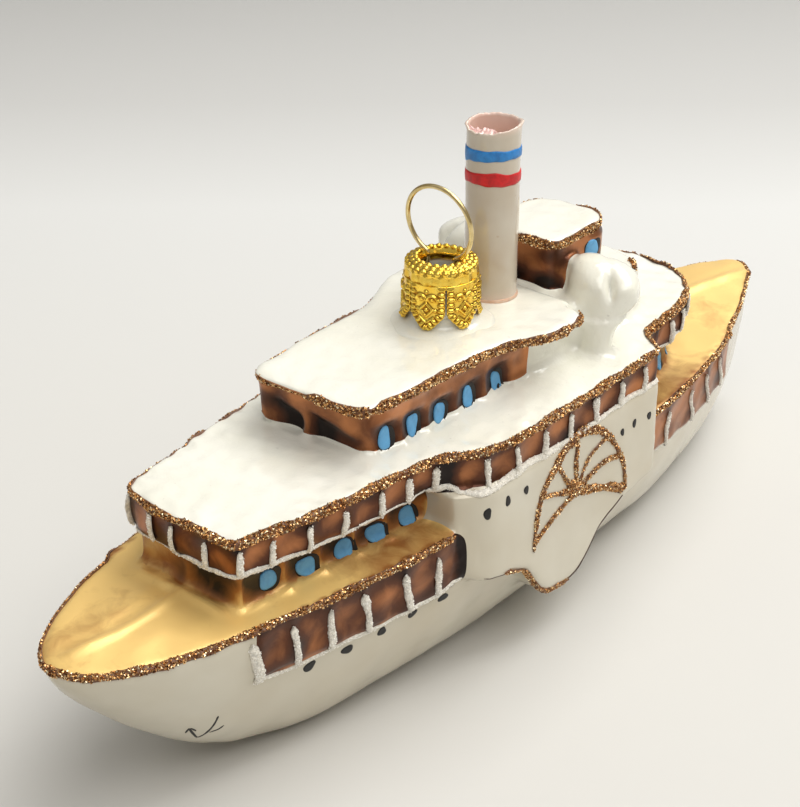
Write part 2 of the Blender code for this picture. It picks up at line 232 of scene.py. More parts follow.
# %% Gather the glass solids
GLASS = [
    "hull", "foredeck", "aft_deck", "bulwark_fore_port", "bulwark_fore_starboard", "bulwark_aft_port",
    "bulwark_aft_starboard", "deckhouse_fore", "deckhouse_aft", "promenade_wall", "promenade_roof",
    "paddle_box_port", "paddle_box_starboard", "upper_house", "boat_deck", "upper_roof", "aft_house",
    "aft_house_roof", "lifeboat_port", "lifeboat_starboard",
]
SWELL = 0.22
VOXEL = 0.45
SAME_POINT = 0.01
SHARPEST = 2.0

def swollen_solids():
    points, faces, owner = [], [], []
    for number, name in enumerate(GLASS):
        bm = bmesh.new()
        bm.from_mesh(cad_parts[name].data)
        bmesh.ops.scale(bm, vec=[1.0 / MM] * 3, verts=bm.verts)
        bmesh.ops.remove_doubles(bm, verts=bm.verts, dist=SAME_POINT)
        bmesh.ops.triangulate(bm, faces=bm.faces)
        bm.normal_update()
        base = len(points)
        points += [v.co + v.normal * SWELL * min(v.calc_shell_factor(), SHARPEST) for v in bm.verts]
        faces += [[base + v.index for v in f.verts] for f in bm.faces]
        owner += [number] * len(bm.faces)
        bm.free()
    return points, faces, owner

solid_points, solid_faces, solid_owner = swollen_solids()
print("solids", len(GLASS), "triangles", len(solid_faces))

# %% One skin by voxel remesh
def outer_island(points, faces):
    parent = np.arange(len(points))
    edges = np.concatenate([faces[:, [0, 1]], faces[:, [1, 2]], faces[:, [2, 3]]])
    while True:
        low = np.minimum(parent[edges[:, 0]], parent[edges[:, 1]])
        before = parent.copy()
        np.minimum.at(parent, edges[:, 0], low)
        np.minimum.at(parent, edges[:, 1], low)
        parent = parent[parent]
        if np.array_equal(parent, before):
            break
    keep = parent == parent[points[:, 0].argmax()]
    index = np.cumsum(keep) - 1
    return points[keep], index[faces[keep[faces[:, 0]]]]

def remeshed(points, faces):
    mesh = bpy.data.meshes.new("skin_source")
    mesh.from_pydata(points, [], faces)
    source = bpy.data.objects.new("skin_source", mesh)
    bpy.context.scene.collection.objects.link(source)
    mod = source.modifiers.new("skin", "REMESH")
    mod.mode = "VOXEL"
    mod.voxel_size = VOXEL
    done = bpy.data.meshes.new_from_object(source.evaluated_get(bpy.context.evaluated_depsgraph_get()))
    co = np.empty(len(done.vertices) * 3)
    done.vertices.foreach_get("co", co)
    quads = np.empty(len(done.loops), int)
    done.loops.foreach_get("vertex_index", quads)
    bpy.data.objects.remove(source)
    return outer_island(co.reshape(-1, 3), quads.reshape(-1, 4))

skin, quads = remeshed(solid_points, solid_faces)
print("skin points", len(skin), "quads", len(quads))

# %% [markdown]
# Smoothing pulls each point towards the middle of its neighbours. Plain passes round the edges, and pairs of
# passes that pull and then push take out the voxel steps without shrinking the figure.

# %% Smooth the skin
ROUNDING = [0.6] * 7 + [0.6, -0.62] * 5

def unit(vectors):
    return vectors / np.maximum(np.linalg.norm(vectors, axis=1), 1e-9)[:, None]

def ring_mean(points, edges, count):
    total = np.zeros_like(points)
    for axis in range(points.shape[1]):
        total[:, axis] = (np.bincount(edges[:, 0], points[edges[:, 1], axis], len(points))
                          + np.bincount(edges[:, 1], points[edges[:, 0], axis], len(points)))
    return total / count[:, None]

def face_sides(faces):
    return np.sort(np.concatenate([faces[:, [i, (i + 1) % 4]] for i in range(4)]), axis=1)

def edge_list(faces):
    return np.unique(face_sides(faces), axis=0)

def smoothed(points, edges, passes):
    count = np.bincount(edges.ravel(), minlength=len(points)).astype(float)
    for pull in passes:
        points = points + (ring_mean(points, edges, count) - points) * pull
    return points

def point_normals(points, faces):
    a, b, c, d = (points[faces[:, i]] for i in range(4))
    across = np.cross(c - a, d - b)
    normals = np.zeros_like(points)
    for i in range(4):
        for axis in range(3):
            normals[:, axis] += np.bincount(faces[:, i], across[:, axis], len(points))
    return unit(normals)

edges = edge_list(quads)
skin = smoothed(skin, edges, ROUNDING)
skin -= point_normals(skin, quads) * SWELL
print("skin box", skin.min(0).round(2), skin.max(0).round(2))

# %% [markdown]
# Each point of the skin asks which solid lies nearest, and keeps that solid's name as its own. The names
# later decide the piece it belongs to, and tell the relief below where it may work.

# %% Name the skin's points
solid_tree = BVHTree.FromPolygons(solid_points, solid_faces)
nearest = np.array([solid_owner[solid_tree.find_nearest(Vector(p))[2]] for p in skin])
NUMBER = {name: i for i, name in enumerate(GLASS)}

def is_on(*names):
    return np.isin(nearest, [NUMBER[n] for n in names])

print({name: int((nearest == i).sum()) for name, i in NUMBER.items()})

# %% [markdown]
# ## Relief
# The promenade is a brown band that runs round the ship. White posts divide it into panels, and each panel is
# slightly hollow. The band's plan is a curve, so the posts are placed by their distance along it, measured
# from the middle of the front.

# %% The promenade's plan
PROMENADE = np.array([
    (53.0, 0.0), (53.0, 7.6), (52.3, 8.9), (47.9, 10.3), (42.5, 11.5), (36.0, 12.6), (30.0, 13.3),
    (24.2, 13.9), (22.6, 14.6), (20.6, 16.2), (18.0, 17.8), (14.5, 18.8), (8.0, 19.1), (0.0, 19.2),
    (-9.0, 19.2), (-18.2, 19.2), (-19.2, 18.4), (-20.8, 15.9), (-22.4, 15.0), (-30.0, 14.3),
    (-34.0, 13.4), (-37.5, 11.9), (-40.3, 9.6), (-42.0, 6.8), (-42.7, 3.4), (-42.8, 0.0),
])
PORT_POSTS = [13.6, 18.8, 24.0, 30.0, 34.5, 45.4, 50.2, 55.7, 61.3, 67.0, 72.8, 78.2, 94.3, 98.6, 103.4,
              108.6, 113.6]
CORNER_POSTS = [9.3, 38.8]
FRONT_POSTS = [-4.3, -0.7, 4.65]

def along_plan(plan):
    return np.concatenate([[0.0], np.cumsum(np.linalg.norm(np.diff(plan, axis=0), axis=1))])

def plan_place(plan, s):
    length = along_plan(plan)
    return np.array([np.interp(s, length, plan[:, 0]), np.interp(s, length, plan[:, 1])])

def plan_distance(plan, x, y):
    length = along_plan(plan)
    best, place = np.full(x.shape, np.inf), np.zeros(x.shape)
    for a, b, start in zip(plan[:-1], plan[1:], length):
        step = b - a
        t = np.clip(((x - a[0]) * step[0] + (y - a[1]) * step[1]) / (step @ step), 0.0, 1.0)
        away = np.hypot(x - a[0] - t * step[0], y - a[1] - t * step[1])
        place = np.where(away < best, start + t * np.linalg.norm(step), place)
        best = np.minimum(away, best)
    return place, best

PLAN_LENGTH = along_plan(PROMENADE)[-1]
print("half the promenade is", round(PLAN_LENGTH, 1), "mm round")

# %% Relief helpers
def hollow(at, posts):
    posts = np.sort(posts)
    slot = np.clip(np.searchsorted(posts, at), 1, len(posts) - 1)
    t = (at - posts[slot - 1]) / (posts[slot] - posts[slot - 1])
    return np.clip(4.0 * t * (1.0 - t), 0.0, 1.0) ** 0.6

def ramp_between(value, low, high):
    t = np.clip((value - low) / (high - low), 0.0, 1.0)
    return t * t * (3.0 - 2.0 * t)

def rise_and_fall(value, low, tall):
    return np.sin(np.clip((value - low) / tall, 0.0, 1.0) * math.pi)

def hump(away, half):
    return np.exp(-(away / half) ** 2)

def mound(away, half, away_too, half_too):
    return np.exp(-(away / half) ** 2 - (away_too / half_too) ** 2)

def within(value, low, high):
    return (value > low) & (value < high)

WAVES = 14

def waves(points, scale, seed):
    rng = np.random.default_rng(seed)
    total = np.zeros(len(points))
    for _ in range(WAVES):
        direction = rng.normal(size=3)
        direction *= scale * rng.uniform(0.6, 1.5) / np.linalg.norm(direction)
        total += np.sin(points @ direction + rng.uniform(0.0, 6.28))
    return total / WAVES ** 0.5

relief, glaze_and_shading = np.zeros(len(skin)), np.zeros(len(skin))

def press(where, height):
    relief[:] += np.where(where, height, 0.0)

def paint_glaze_and_shade(where, brown):
    glaze_and_shading[:] = np.where(where, brown, glaze_and_shading)

x, y, z = skin.T
print("points", len(skin))

# %% Panels of the promenade and of the bulwarks
AFT_LEVEL, DECK_STEP, STEP_LENGTH = 22.8, 1.2, 3.0

def deck_level(at):
    return AFT_LEVEL + DECK_STEP * np.clip(at / STEP_LENGTH, 0.0, 1.0)

FORE_POSTS = [(53.7, 52.4), (48.1, 47.0), (42.8, 42.1), (37.8, 36.6), (31.7, 30.3), (26.3, 25.4)]
AFT_POSTS = [(-25.2, -25.9), (-32.9, -34.1), (-38.4, -40.2), (-44.3, -46.1)]
POST_LEAN, LEAN_FROM = 0.2, 19.2
BAND_FOOT, RAIL_FOOT = 29.2, 15.8
BAND_FROM, BAND_TO, BELLY_FROM, BELLY_TALL = 28.6, 33.5, 29.0, 4.6
FORE_END, AFT_FRONT, AFT_END, RAIL_OUT = 20.6, -19.6, -50.6, 9.0
BOX_TOP, BOX_JOIN_X, BOX_JOIN_Z = 27.5, (20.0, 24.0), (15.5, 24.0)

def post_middles(posts):
    return [(top + low) / 2 for top, low in posts]

on_band = is_on("promenade_wall", "promenade_roof") & within(z, BAND_FROM, BAND_TO)
around, from_rim = plan_distance(PROMENADE, x, np.abs(y))
around = np.where((x > 52.0) & (y < 0.0) & (around < 7.6), -around, around)
band_posts = [-9.3] + FRONT_POSTS + CORNER_POSTS + PORT_POSTS + [82.0, 86.5, 90.2, PLAN_LENGTH]
band_hollow = hollow(around, band_posts)
belly = rise_and_fall(z, BELLY_FROM, BELLY_TALL)
press(on_band, 0.35 * belly - 0.75 * band_hollow * belly ** 0.5)
blotches = 0.12 * waves(skin, 1.3, 9)
# Painted light in the band's glaze: a painted highlight makes it lighter towards the middle of each panel,
# and painted shade makes it darkest at the corner where the band turns out towards the paddle box.
band_corner_shade = hump(around - 40.2, 1.3)
paint_glaze_and_shade(on_band, 0.88 - 0.6 * band_hollow * belly ** 0.5 + 1.7 * blotches + 0.5 * band_corner_shade)
on_box = is_on("paddle_box_port", "paddle_box_starboard")
paint_glaze_and_shade(on_box & (z > BOX_TOP), 0.9)

on_fore = is_on("bulwark_fore_port", "bulwark_fore_starboard")
on_aft = is_on("bulwark_aft_port", "bulwark_aft_starboard")
upright = x - POST_LEAN * (z - LEAN_FROM)
fore_hollow = hollow(upright, post_middles(FORE_POSTS) + [FORE_END])
aft_hollow = hollow(upright, [AFT_FRONT] + post_middles(AFT_POSTS) + [AFT_END])
rail_hollow = np.where(on_fore, fore_hollow, aft_hollow)
rail_height = rise_and_fall(z, RAIL_FOOT, deck_level(x) - RAIL_FOOT) ** 0.5
by_box = (is_on("hull") | on_box) & within(x, *BOX_JOIN_X) & within(z, *BOX_JOIN_Z)
on_rail = on_fore | on_aft | by_box & (np.abs(y) > RAIL_OUT)
press(on_rail, -0.45 * rail_hollow * rail_height)
# Painted light in the bulwark glaze: painted highlights make it lighter in the middle of each panel and along
# the foot, and painted shade makes it darker where the fore bulwark runs into the paddle box.
foot_light_box_shade = 0.3 * ramp_between(-z, -17.2, -15.6) - 0.5 * ramp_between(-x, -23.4, -22.0) * (x > 0.0)
paint_glaze_and_shade(on_rail, 0.9 - 0.55 * rail_hollow * rail_height + blotches - foot_light_box_shade - 0.25 * (x < 0.0))
print("panel points", int(on_band.sum()), int(on_rail.sum()))

# %% [markdown]
# The houses between the decks are glazed gold-brown. The glaze clears to gold at the foot of the wall, where
# it meets the open deck. Painted shade darkens it under the overhang, in the window hollows between the
# pilasters and towards the paddle box. The upper house has a window in each hollow of its side, and two deep
# wavy hollows across its front, and painted shade darkens those hollows too.

# %% Deckhouse walls
LOWER_PILASTERS = [51.9, 44.8, 39.4, 33.8, 28.7, 22.9]
WALL_TALL, FRONT_X, FRONT_HALF = 5.4, 51.0, 8.2

side, level = np.abs(y), deck_level(x)
on_house = is_on("deckhouse_fore", "deckhouse_aft")
wall_height = rise_and_fall(z - level + 0.3, 0.0, WALL_TALL) ** 0.5
bay = np.where(within(x, LOWER_PILASTERS[-1], FRONT_X), hollow(x, LOWER_PILASTERS), 0.35)
bay = np.where(x > FRONT_X, hollow(y, [-FRONT_HALF, 0.0, FRONT_HALF]), bay)
press(on_house, -0.75 * bay * wall_height)
foot = ramp_between(z, level + 0.2, level + 1.3)
under = ramp_between(z, 26.0, 28.6)
box_end_shade = ramp_between(-x, -24.0, -22.5)
# Painted shade: the glaze darkens in the window hollows, under the overhang and towards the paddle box.
paint_glaze_and_shade(on_house, 0.08 + foot * (0.1 + 0.8 * bay) + 0.35 * under + blotches + 0.3 * box_end_shade)
coppery = on_house & (x > 49.5) & (y < -0.6)
paint_glaze_and_shade(coppery, 0.46 + 0.2 * ramp_between(y, -3.0, -0.6) + 0.8 * blotches)
on_soffit = is_on("promenade_wall") & (z <= BAND_FOOT)
paint_glaze_and_shade(on_soffit & ~on_band, 0.95)
print("deckhouse points", int(on_house.sum()))

# %% Decks at the foot of the walls
HOUSE_SIDE = [(20.8, 11.8), (26.4, 11.2), (34.4, 10.1), (42.5, 9.2), (47.0, 8.8), (51.3, 8.4)]
CREST = [(52.0, 0.4), (58.0, 1.0), (64.0, 1.0), (70.0, -0.3), (72.0, -1.0)]

on_deck = is_on("foredeck", "aft_deck")
wall_side = np.interp(x, *zip(*HOUSE_SIDE))
flare = hump(side - wall_side - 0.4, 0.9) * (1.0 - bay) ** 2 * within(x, 23.0, 50.5)
crest = np.interp(x, *zip(*CREST))
ridge = hump(y - crest, 0.7) - 0.9 * hump(y - crest + 1.7, 1.1)
ridge = ridge * ramp_between(x, 52.6, 54.5) * ramp_between(-x, -72.0, -68.0)
aft_ridge = 0.35 * hump(y + 0.2 * (x + 52.0), 0.8) * ramp_between(-x, 43.0, 46.0)
front_foot = hump(x - 53.3, 0.75) * ramp_between(-side, -8.6, -6.0)
press(on_deck, 0.85 * flare + 0.34 * ridge + aft_ridge + 0.45 * front_foot)
# Painted shade on the gold: darker on the foredeck's starboard slope near the bow, beside its crest, and on
# the decks amidships beside the houses, most away from the feet of the walls. The waves are random mottling.
deck_slope_shade = 0.2 * hump(y - crest + 3.4, 2.6) * ramp_between(x, 55.0, 66.0)
house_side_shade = 0.3 * ramp_between(-np.abs(x), -46.0, -30.0)
deck_gold = 0.05 + 0.08 * waves(skin, 0.45, 13) + deck_slope_shade + house_side_shade
deck_gold = deck_gold + 0.12 * (1.0 - flare) * (side > 9.0) * house_side_shade
paint_glaze_and_shade(on_deck, deck_gold)
print("deck points", int(on_deck.sum()))

# %% Upper house
UPPER_PILASTERS = [28.6, 23.5, 18.6, 13.5, 8.0, 2.2]
UPPER_Z, UPPER_FRONT_X, UPPER_FRONT_Y = (34.0, 40.6), 26.5, (-8.0, 7.6)
PORT_EDGE, PORT_WIDE, STARBOARD_EDGE, STARBOARD_WIDE = -1.0, 8.2, -7.8, 6.0

on_upper = is_on("upper_house", "upper_roof") & within(z, *UPPER_Z) & (x > -0.5)
bay = hollow(x, UPPER_PILASTERS)
recess = bay ** 1.6 * ramp_between(z, 33.0, 34.4) * ramp_between(-z, -38.4, -36.9)
on_front = on_upper & (x > UPPER_FRONT_X) & within(y, *UPPER_FRONT_Y)
near_port = np.clip((y - PORT_EDGE) / PORT_WIDE, 0.0, 1.0)
port_hollow = ramp_between(near_port, 0.0, 0.09) * ramp_between(-near_port, -1.0, -0.72)
port_hollow *= ramp_between(38.2 - 0.24 * (y - PORT_EDGE) - z, 0.0, 0.9)
port_hollow *= 0.75 + 0.25 * np.cos(near_port * 4.5)
near_starboard = np.clip((y - STARBOARD_EDGE) / STARBOARD_WIDE, 0.0, 1.0)
starboard_hollow = near_starboard ** 0.7 * ramp_between(-near_starboard, -1.0, -0.88)
starboard_hollow *= ramp_between(38.9 - 0.33 * (y - STARBOARD_EDGE) - z, 0.0, 0.9)
recess = np.where(on_front, 1.45 * (port_hollow + starboard_hollow), recess)
askew = ramp_between(-y, 5.5, 8.0) * ramp_between(x, 14.0, 24.0) * ramp_between(-z, -41.0, -40.0)
silk = 0.09 * waves(skin, 1.1, 21)
press(on_upper, 1.2 * askew - 0.72 * recess + silk)
# Painted shade: the glaze darkens in the recesses round the side windows and in the two hollows across the
# front.
paint_glaze_and_shade(on_upper, 0.22 + 0.8 * recess + 1.4 * blotches)
print("upper house points", int(on_upper.sum()))

# %% Aft house
AFT_WALL_TOP = 47.2

on_aft_house = is_on("aft_house", "aft_house_roof") & (z < AFT_WALL_TOP)
aft_bulge = 0.9 * ramp_between(-x, 17.0, 22.0) * ramp_between(-z, -AFT_WALL_TOP, -46.0)
press(on_aft_house, aft_bulge + silk)
paint_glaze_and_shade(on_aft_house, 0.25 + 0.75 * ramp_between(-z, -43.6, -41.8) + 2.4 * blotches)
press(on_band | on_rail, silk)
print("aft house points", int(on_aft_house.sum()))

# %% [markdown]
# The lifeboats are swollen white lumps on a thick stalk, each with a crease that parts it in two lobes. Over
# the whole figure lies a faint wobble, because hand-blown glass is never flat.

# %% Lifeboat lobes and the wobble of blown glass
STALK_TOP, ROOFS_FROM = 39.0, 33.6
SOFTENING, GLAZE_BLUR = [0.5, -0.52] * 2, [0.7] * 2

on_boat = is_on("lifeboat_port", "lifeboat_starboard") & (z > STALK_TOP)
across = 0.77 * (side - 12.6) - 0.64 * (x + 15.2)
notch = mound(across, 0.55, z - 43.3, 1.5)
outer_lobe = mound(across - 2.4, 1.6, z - 42.9, 1.4)
fore_lobe = mound(across + 2.6, 1.8, z - 43.4, 1.6)
starboard_slope = ramp_between(-y, 2.0, 4.0) * ramp_between(x, -13.0, -10.0) * ramp_between(z, 41.5, 44.0)
waist = hump(z - 38.6, 1.6) * ramp_between(side, 10.5, 12.5)
press(on_boat, 0.65 * outer_lobe + 0.45 * fore_lobe - 1.3 * notch - 0.8 * starboard_slope)
press(on_boat, -0.4 * waist)
relief += 0.10 * waves(skin, 0.35, 3) + 0.05 * waves(skin, 0.9, 5)
on_white = is_on("promenade_roof", "upper_roof", "boat_deck", "aft_house_roof") & (z > ROOFS_FROM)
press(on_white, (0.04 + 0.07 * hump(from_rim, 3.5)) * waves(skin, 2.1, 7))
skin = skin + point_normals(skin, quads) * relief[:, None]
skin = smoothed(skin, edges, SOFTENING)
glaze_and_shading = smoothed(np.clip(glaze_and_shading, 0.0, 1.0)[:, None], edges, GLAZE_BLUR)[:, 0]
print("deepest", round(float(relief.min()), 2), "highest", round(float(relief.max()), 2))

# %% [markdown]
# The real figure left its mould a little askew. The upper house leans back on its port side, and the forward
# starboard corner of the promenade bulges out and down. The same small warp is used for the skin and for the
# paint that is laid along plan lines.

# %% Askew corners
def formed(points):
    points = np.array(points, float)
    x, y, z = points.T
    lean = ramp_between(x, 18.0, 28.0) * ramp_between(z, 33.7, 34.8)
    corner = mound(x - 52.0, 7.0, y + 8.8, 6.0) * ramp_between(z, 26.0, 29.0) * (z < 34.6)
    shift = np.column_stack([-0.06 * y * lean - 0.9 * corner, -0.9 * corner,
                             -0.7 * corner * ramp_between(-z, -33.2, -29.6)])
    return points + shift

skin = formed(skin)
skin[:, 2] = np.maximum(skin[:, 2], 0.0)
normals = point_normals(skin, quads)
print("skin box", skin.min(0).round(2), skin.max(0).round(2))

# %% [markdown]
# ## Cutting the skin into pieces
# Each face takes the name most of its corners have. The painted edges between two finishes would then follow
# the voxels in small steps, so the points on those edges are drawn along the edge into smooth lines, as a
# brush would leave them, and put back on the glass.

# %% Which piece each point belongs to
PROMENADE_SEAM, UPPER_SEAM, AFT_SEAM, WALL_END = 33.45, 41.0, 47.6, -0.9
UPPER_FOOT, AFT_FOOT_LEVEL, BOX_X, BOX_OUT = 34.75, 41.6, (-19.5, 20.0), 15.0
PANEL_X, PANEL_Z = (21.3, 53.0), (16.0, 23.4)

x, y, z = skin.T
owner = nearest.copy()

def rename(mask, name):
    owner[mask] = NUMBER[name]

steep, flat = normals[:, 2] < 0.55, normals[:, 2] > 0.75
rename(is_on("promenade_roof") & (z < PROMENADE_SEAM), "promenade_wall")
rename(is_on("promenade_wall") & (z > PROMENADE_SEAM), "promenade_roof")
rename(is_on("upper_roof") & (z < UPPER_SEAM) & (x > WALL_END), "upper_house")
rename(is_on("upper_roof") & (z < UPPER_SEAM) & (x <= WALL_END), "boat_deck")
rename(is_on("aft_house_roof") & (z < AFT_SEAM), "aft_house")
rename(is_on("foredeck", "aft_deck") & steep & (z < deck_level(x) + 0.1), "hull")
rename(is_on("upper_house") & (z < UPPER_FOOT) & flat, "promenade_roof")
rename(is_on("aft_house") & (z < AFT_FOOT_LEVEL) & flat, "boat_deck")
for word, reach in (("port", y), ("starboard", -y)):
    box = "paddle_box_" + word
    under_band = is_on("promenade_wall") & (z < BAND_FOOT) & within(x, *BOX_X) & (reach > BOX_OUT)
    rename(under_band, box)
    on_panel = is_on("hull", box) & within(x, *PANEL_X) & within(z, *PANEL_Z) & (reach > RAIL_OUT)
    rename(on_panel, "bulwark_fore_" + word)
face_owner = np.array([np.bincount(row, minlength=len(GLASS)).argmax() for row in owner[quads]])
print({name: int((face_owner == i).sum()) for name, i in NUMBER.items()})

# %% Smooth the painted edges
EDGE_PASSES, EDGE_PULL = 14, 0.5

def painted_edges():
    key, faces_of = face_sides(quads), np.tile(np.arange(len(quads)), 4)
    order = np.lexsort((key[:, 1], key[:, 0]))
    key, faces_of = key[order], faces_of[order]
    same = np.all(key[:-1] == key[1:], axis=1)
    first, second = faces_of[:-1][same], faces_of[1:][same]
    return key[:-1][same][face_owner[first] != face_owner[second]]

def straightened(points, seams, passes):
    count = np.bincount(seams.ravel(), minlength=len(points)).astype(float)
    on_seam = count > 1
    tree = BVHTree.FromPolygons(points.tolist(), quads.tolist())
    moved = points.copy()
    for _ in range(passes):
        target = ring_mean(moved, seams, np.maximum(count, 1.0))
        moved[on_seam] += (target[on_seam] - moved[on_seam]) * EDGE_PULL
    for i in np.flatnonzero(on_seam):
        moved[i] = tree.find_nearest(Vector(moved[i]))[0]
    return moved

seams = painted_edges()
skin = straightened(skin, seams, EDGE_PASSES)
normals = point_normals(skin, quads)
skin_tree = BVHTree.FromPolygons(skin.tolist(), quads.tolist())
print("edge points smoothed", len(np.unique(seams)))

# %% Make the glass pieces
def mesh_object(name, points, faces, mat, smooth=True):
    mesh = bpy.data.meshes.new(name)
    mesh.from_pydata(np.asarray(points) * MM, [], faces)
    mesh.materials.append(mat)
    if smooth:
        mesh.shade_smooth()
    obj = bpy.data.objects.new(name, mesh)
    bpy.context.scene.collection.objects.link(obj)
    return obj

def keep_number(obj, name, values):
    store = obj.data.attributes.new(name, "FLOAT", "POINT")
    store.data.foreach_set("value", np.asarray(values, np.float32))

def belongs(obj, body, slot, *nodes):
    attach(obj, body)
    if nodes:
        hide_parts(*nodes)
    return obj

def skin_piece(node, mat, slot):
    faces = quads[face_owner == NUMBER[node]]
    ids, corner = np.unique(faces, return_inverse=True)
    obj = mesh_object(node + "_glass", skin[ids], corner.reshape(-1, 4), mat)
    keep_number(obj, "glaze_and_shading", glaze_and_shading[ids])
    obj.data.normals_split_custom_set_from_vertices(normals[ids])
    return belongs(obj, "glass", slot, node)

def finish_of(name):
    if "bulwark" in name or name in ("promenade_wall", "upper_house", "aft_house"):
        return brown_glaze, "panel"
    if "deckhouse" in name:
        return gold_glaze, "panel"
    if name in ("foredeck", "aft_deck"):
        return gold_glaze, "deck"
    if name == "hull" or "paddle_box" in name:
        return pearl, "hull"
    return enamel, "roof"

for name in GLASS:
    obj = skin_piece(name, *finish_of(name))
    print(obj.name, len(obj.data.polygons))

# %% [markdown]
# ## Laying paint on the glass
# Windows, portholes, posts and glitter are laid on the finished figure. Each starts as a plain place near the
# surface and is seated on it: a ray goes from outside towards the glass, and where it lands gives the place
# and the direction that the paint stands up in.

# %% Seating on the glass
def seat(place, outward, reach=6.0):
    out = Vector(outward).normalized()
    hit, normal, _, _ = skin_tree.ray_cast(Vector(place) + out * reach, -out, reach * 2.5)
    if hit is None:
        hit, normal, _, _ = skin_tree.find_nearest(Vector(place))
    if normal.dot(out) < 0:
        normal = -normal
    return np.array(hit), np.array(normal)

def seated(places, outwards):
    hits, normals_there = zip(*(seat(p, o) for p, o in zip(places, outwards)))
    return np.array(hits), np.array(normals_there)

def evenly(points, step):
    points = np.asarray(points, float)
    length = along_plan(points)
    at = np.linspace(0.0, length[-1], max(int(length[-1] / step), 2) + 1)
    return np.stack([np.interp(at, length, points[:, i]) for i in range(points.shape[1])], 1)

def rounded_path(points, step, passes=2):
    points = np.asarray(points, float)
    for _ in range(passes):
        cut = [points[:-1] * 0.75 + points[1:] * 0.25, points[:-1] * 0.25 + points[1:] * 0.75]
        inner = np.stack(cut, 1).reshape(-1, points.shape[1])
        points = np.vstack([points[:1], inner, points[-1:]])
    return evenly(points, step)

print("seat test", seat((30.0, 20.0, 10.0), (0, 1, 0)))

# %% [markdown]
# A stroke is a low rounded bead of paint along a path. Its width and its middle wander a little, because a
# hand drew it, and both ends taper to a round. It is built from rings of points joined by quads, and so are
# the dabs of paint, the funnel, the dome of the cap and the wire further down.

# %% Rings of points and their faces
def ring_quads(rings, n, closed=False, flip=False):
    faces = []
    for i in range(rings if closed else rings - 1):
        j = (i + 1) % rings
        for k in range(n):
            m = (k + 1) % n
            a, b, c, d = i * n + k, j * n + k, j * n + m, i * n + m
            faces.append((a, d, c, b) if flip else (a, b, c, d))
    return faces

def joined(parts):
    verts, faces, base = [], [], 0
    for part_verts, part_faces, *_ in parts:
        verts.append(part_verts)
        faces += [tuple(base + i for i in f) for f in part_faces]
        base += len(part_verts)
    return np.vstack(verts), faces

def painted(name, parts, mat, slot):
    return belongs(mesh_object(name, *joined(parts), mat), "glass", slot)

print("two rings of three points", ring_quads(2, 3))

# %% Strokes of paint
STROKE_SIDES, STROKE_SUNK, WIDTH_WAVE, DRIFT_WAVE = 7, 0.08, 3, 6

def smooth_random(rng, count, reach):
    raw = rng.normal(size=count + 2 * reach)
    kernel = np.hanning(2 * reach + 1)
    return np.convolve(raw, kernel / np.linalg.norm(kernel), "valid")[:count]

def stroke(places, outwards, width, height, seed, wander=0.12):
    points, ups = seated(places, outwards)
    count = len(points)
    rng = np.random.default_rng(seed)
    width = np.broadcast_to(np.asarray(width, float), (count,))
    across = unit(np.cross(ups, unit(np.gradient(points, axis=0))))
    half = width / 2 * (1.0 + wander * smooth_random(rng, count, WIDTH_WAVE))
    drift = width * wander * 0.5 * smooth_random(rng, count, DRIFT_WAVE)
    near_end = np.minimum(*(np.linalg.norm(points - end, axis=1) for end in (points[0], points[-1])))
    half = half * np.sqrt(np.clip(near_end / (width / 2) + 0.05, 0.0, 1.0))
    points = points + across * drift[:, None]
    rings = []
    for turn in np.linspace(0.0, math.pi, STROKE_SIDES):
        lift = np.sin(turn) * (height + STROKE_SUNK) - STROKE_SUNK
        rings.append(points + across * (np.cos(turn) * half)[:, None] + ups * lift)
    verts = np.stack(rings, 1).reshape(-1, 3)
    faces = ring_quads(count, STROKE_SIDES)
    first_end, last_end = range(STROKE_SIDES), range((count - 1) * STROKE_SIDES, count * STROKE_SIDES)
    faces += [tuple(first_end)[::-1], tuple(last_end)]
    return verts, faces, (points, ups, across, half)

def straight_out(count, out):
    return np.tile(out, (count, 1))

print("stroke helper ready")

# %% [markdown]
# Glitter is thousands of tiny glass crystals set in glue. Each crystal is a small bipyramid turned at random,
# with flat faces, so that some flash and most stay dark. A number per crystal picks its colour.

# %% Glitter crystals
SPIKES = np.array([(1, 0, 0), (-0.5, 0.866, 0), (-0.5, -0.866, 0), (0, 0, 0.9), (0, 0, -0.9)])
FACETS = np.array([(0, 1, 3), (1, 2, 3), (2, 0, 3), (1, 0, 4), (2, 1, 4), (0, 2, 4)])
CRYSTAL_SUNK, CRYSTAL_STRAY, CRYSTAL_SIZES = 0.02, 0.03, (0.55, 1.25)

def random_turns(rng, count):
    w, a, b, c = unit(rng.normal(size=(count, 4))).T
    return np.stack([
        np.stack([1 - 2 * (b * b + c * c), 2 * (a * b - c * w), 2 * (a * c + b * w)], 1),
        np.stack([2 * (a * b + c * w), 1 - 2 * (a * a + c * c), 2 * (b * c - a * w)], 1),
        np.stack([2 * (a * c - b * w), 2 * (b * c + a * w), 1 - 2 * (a * a + b * b)], 1)], 1)

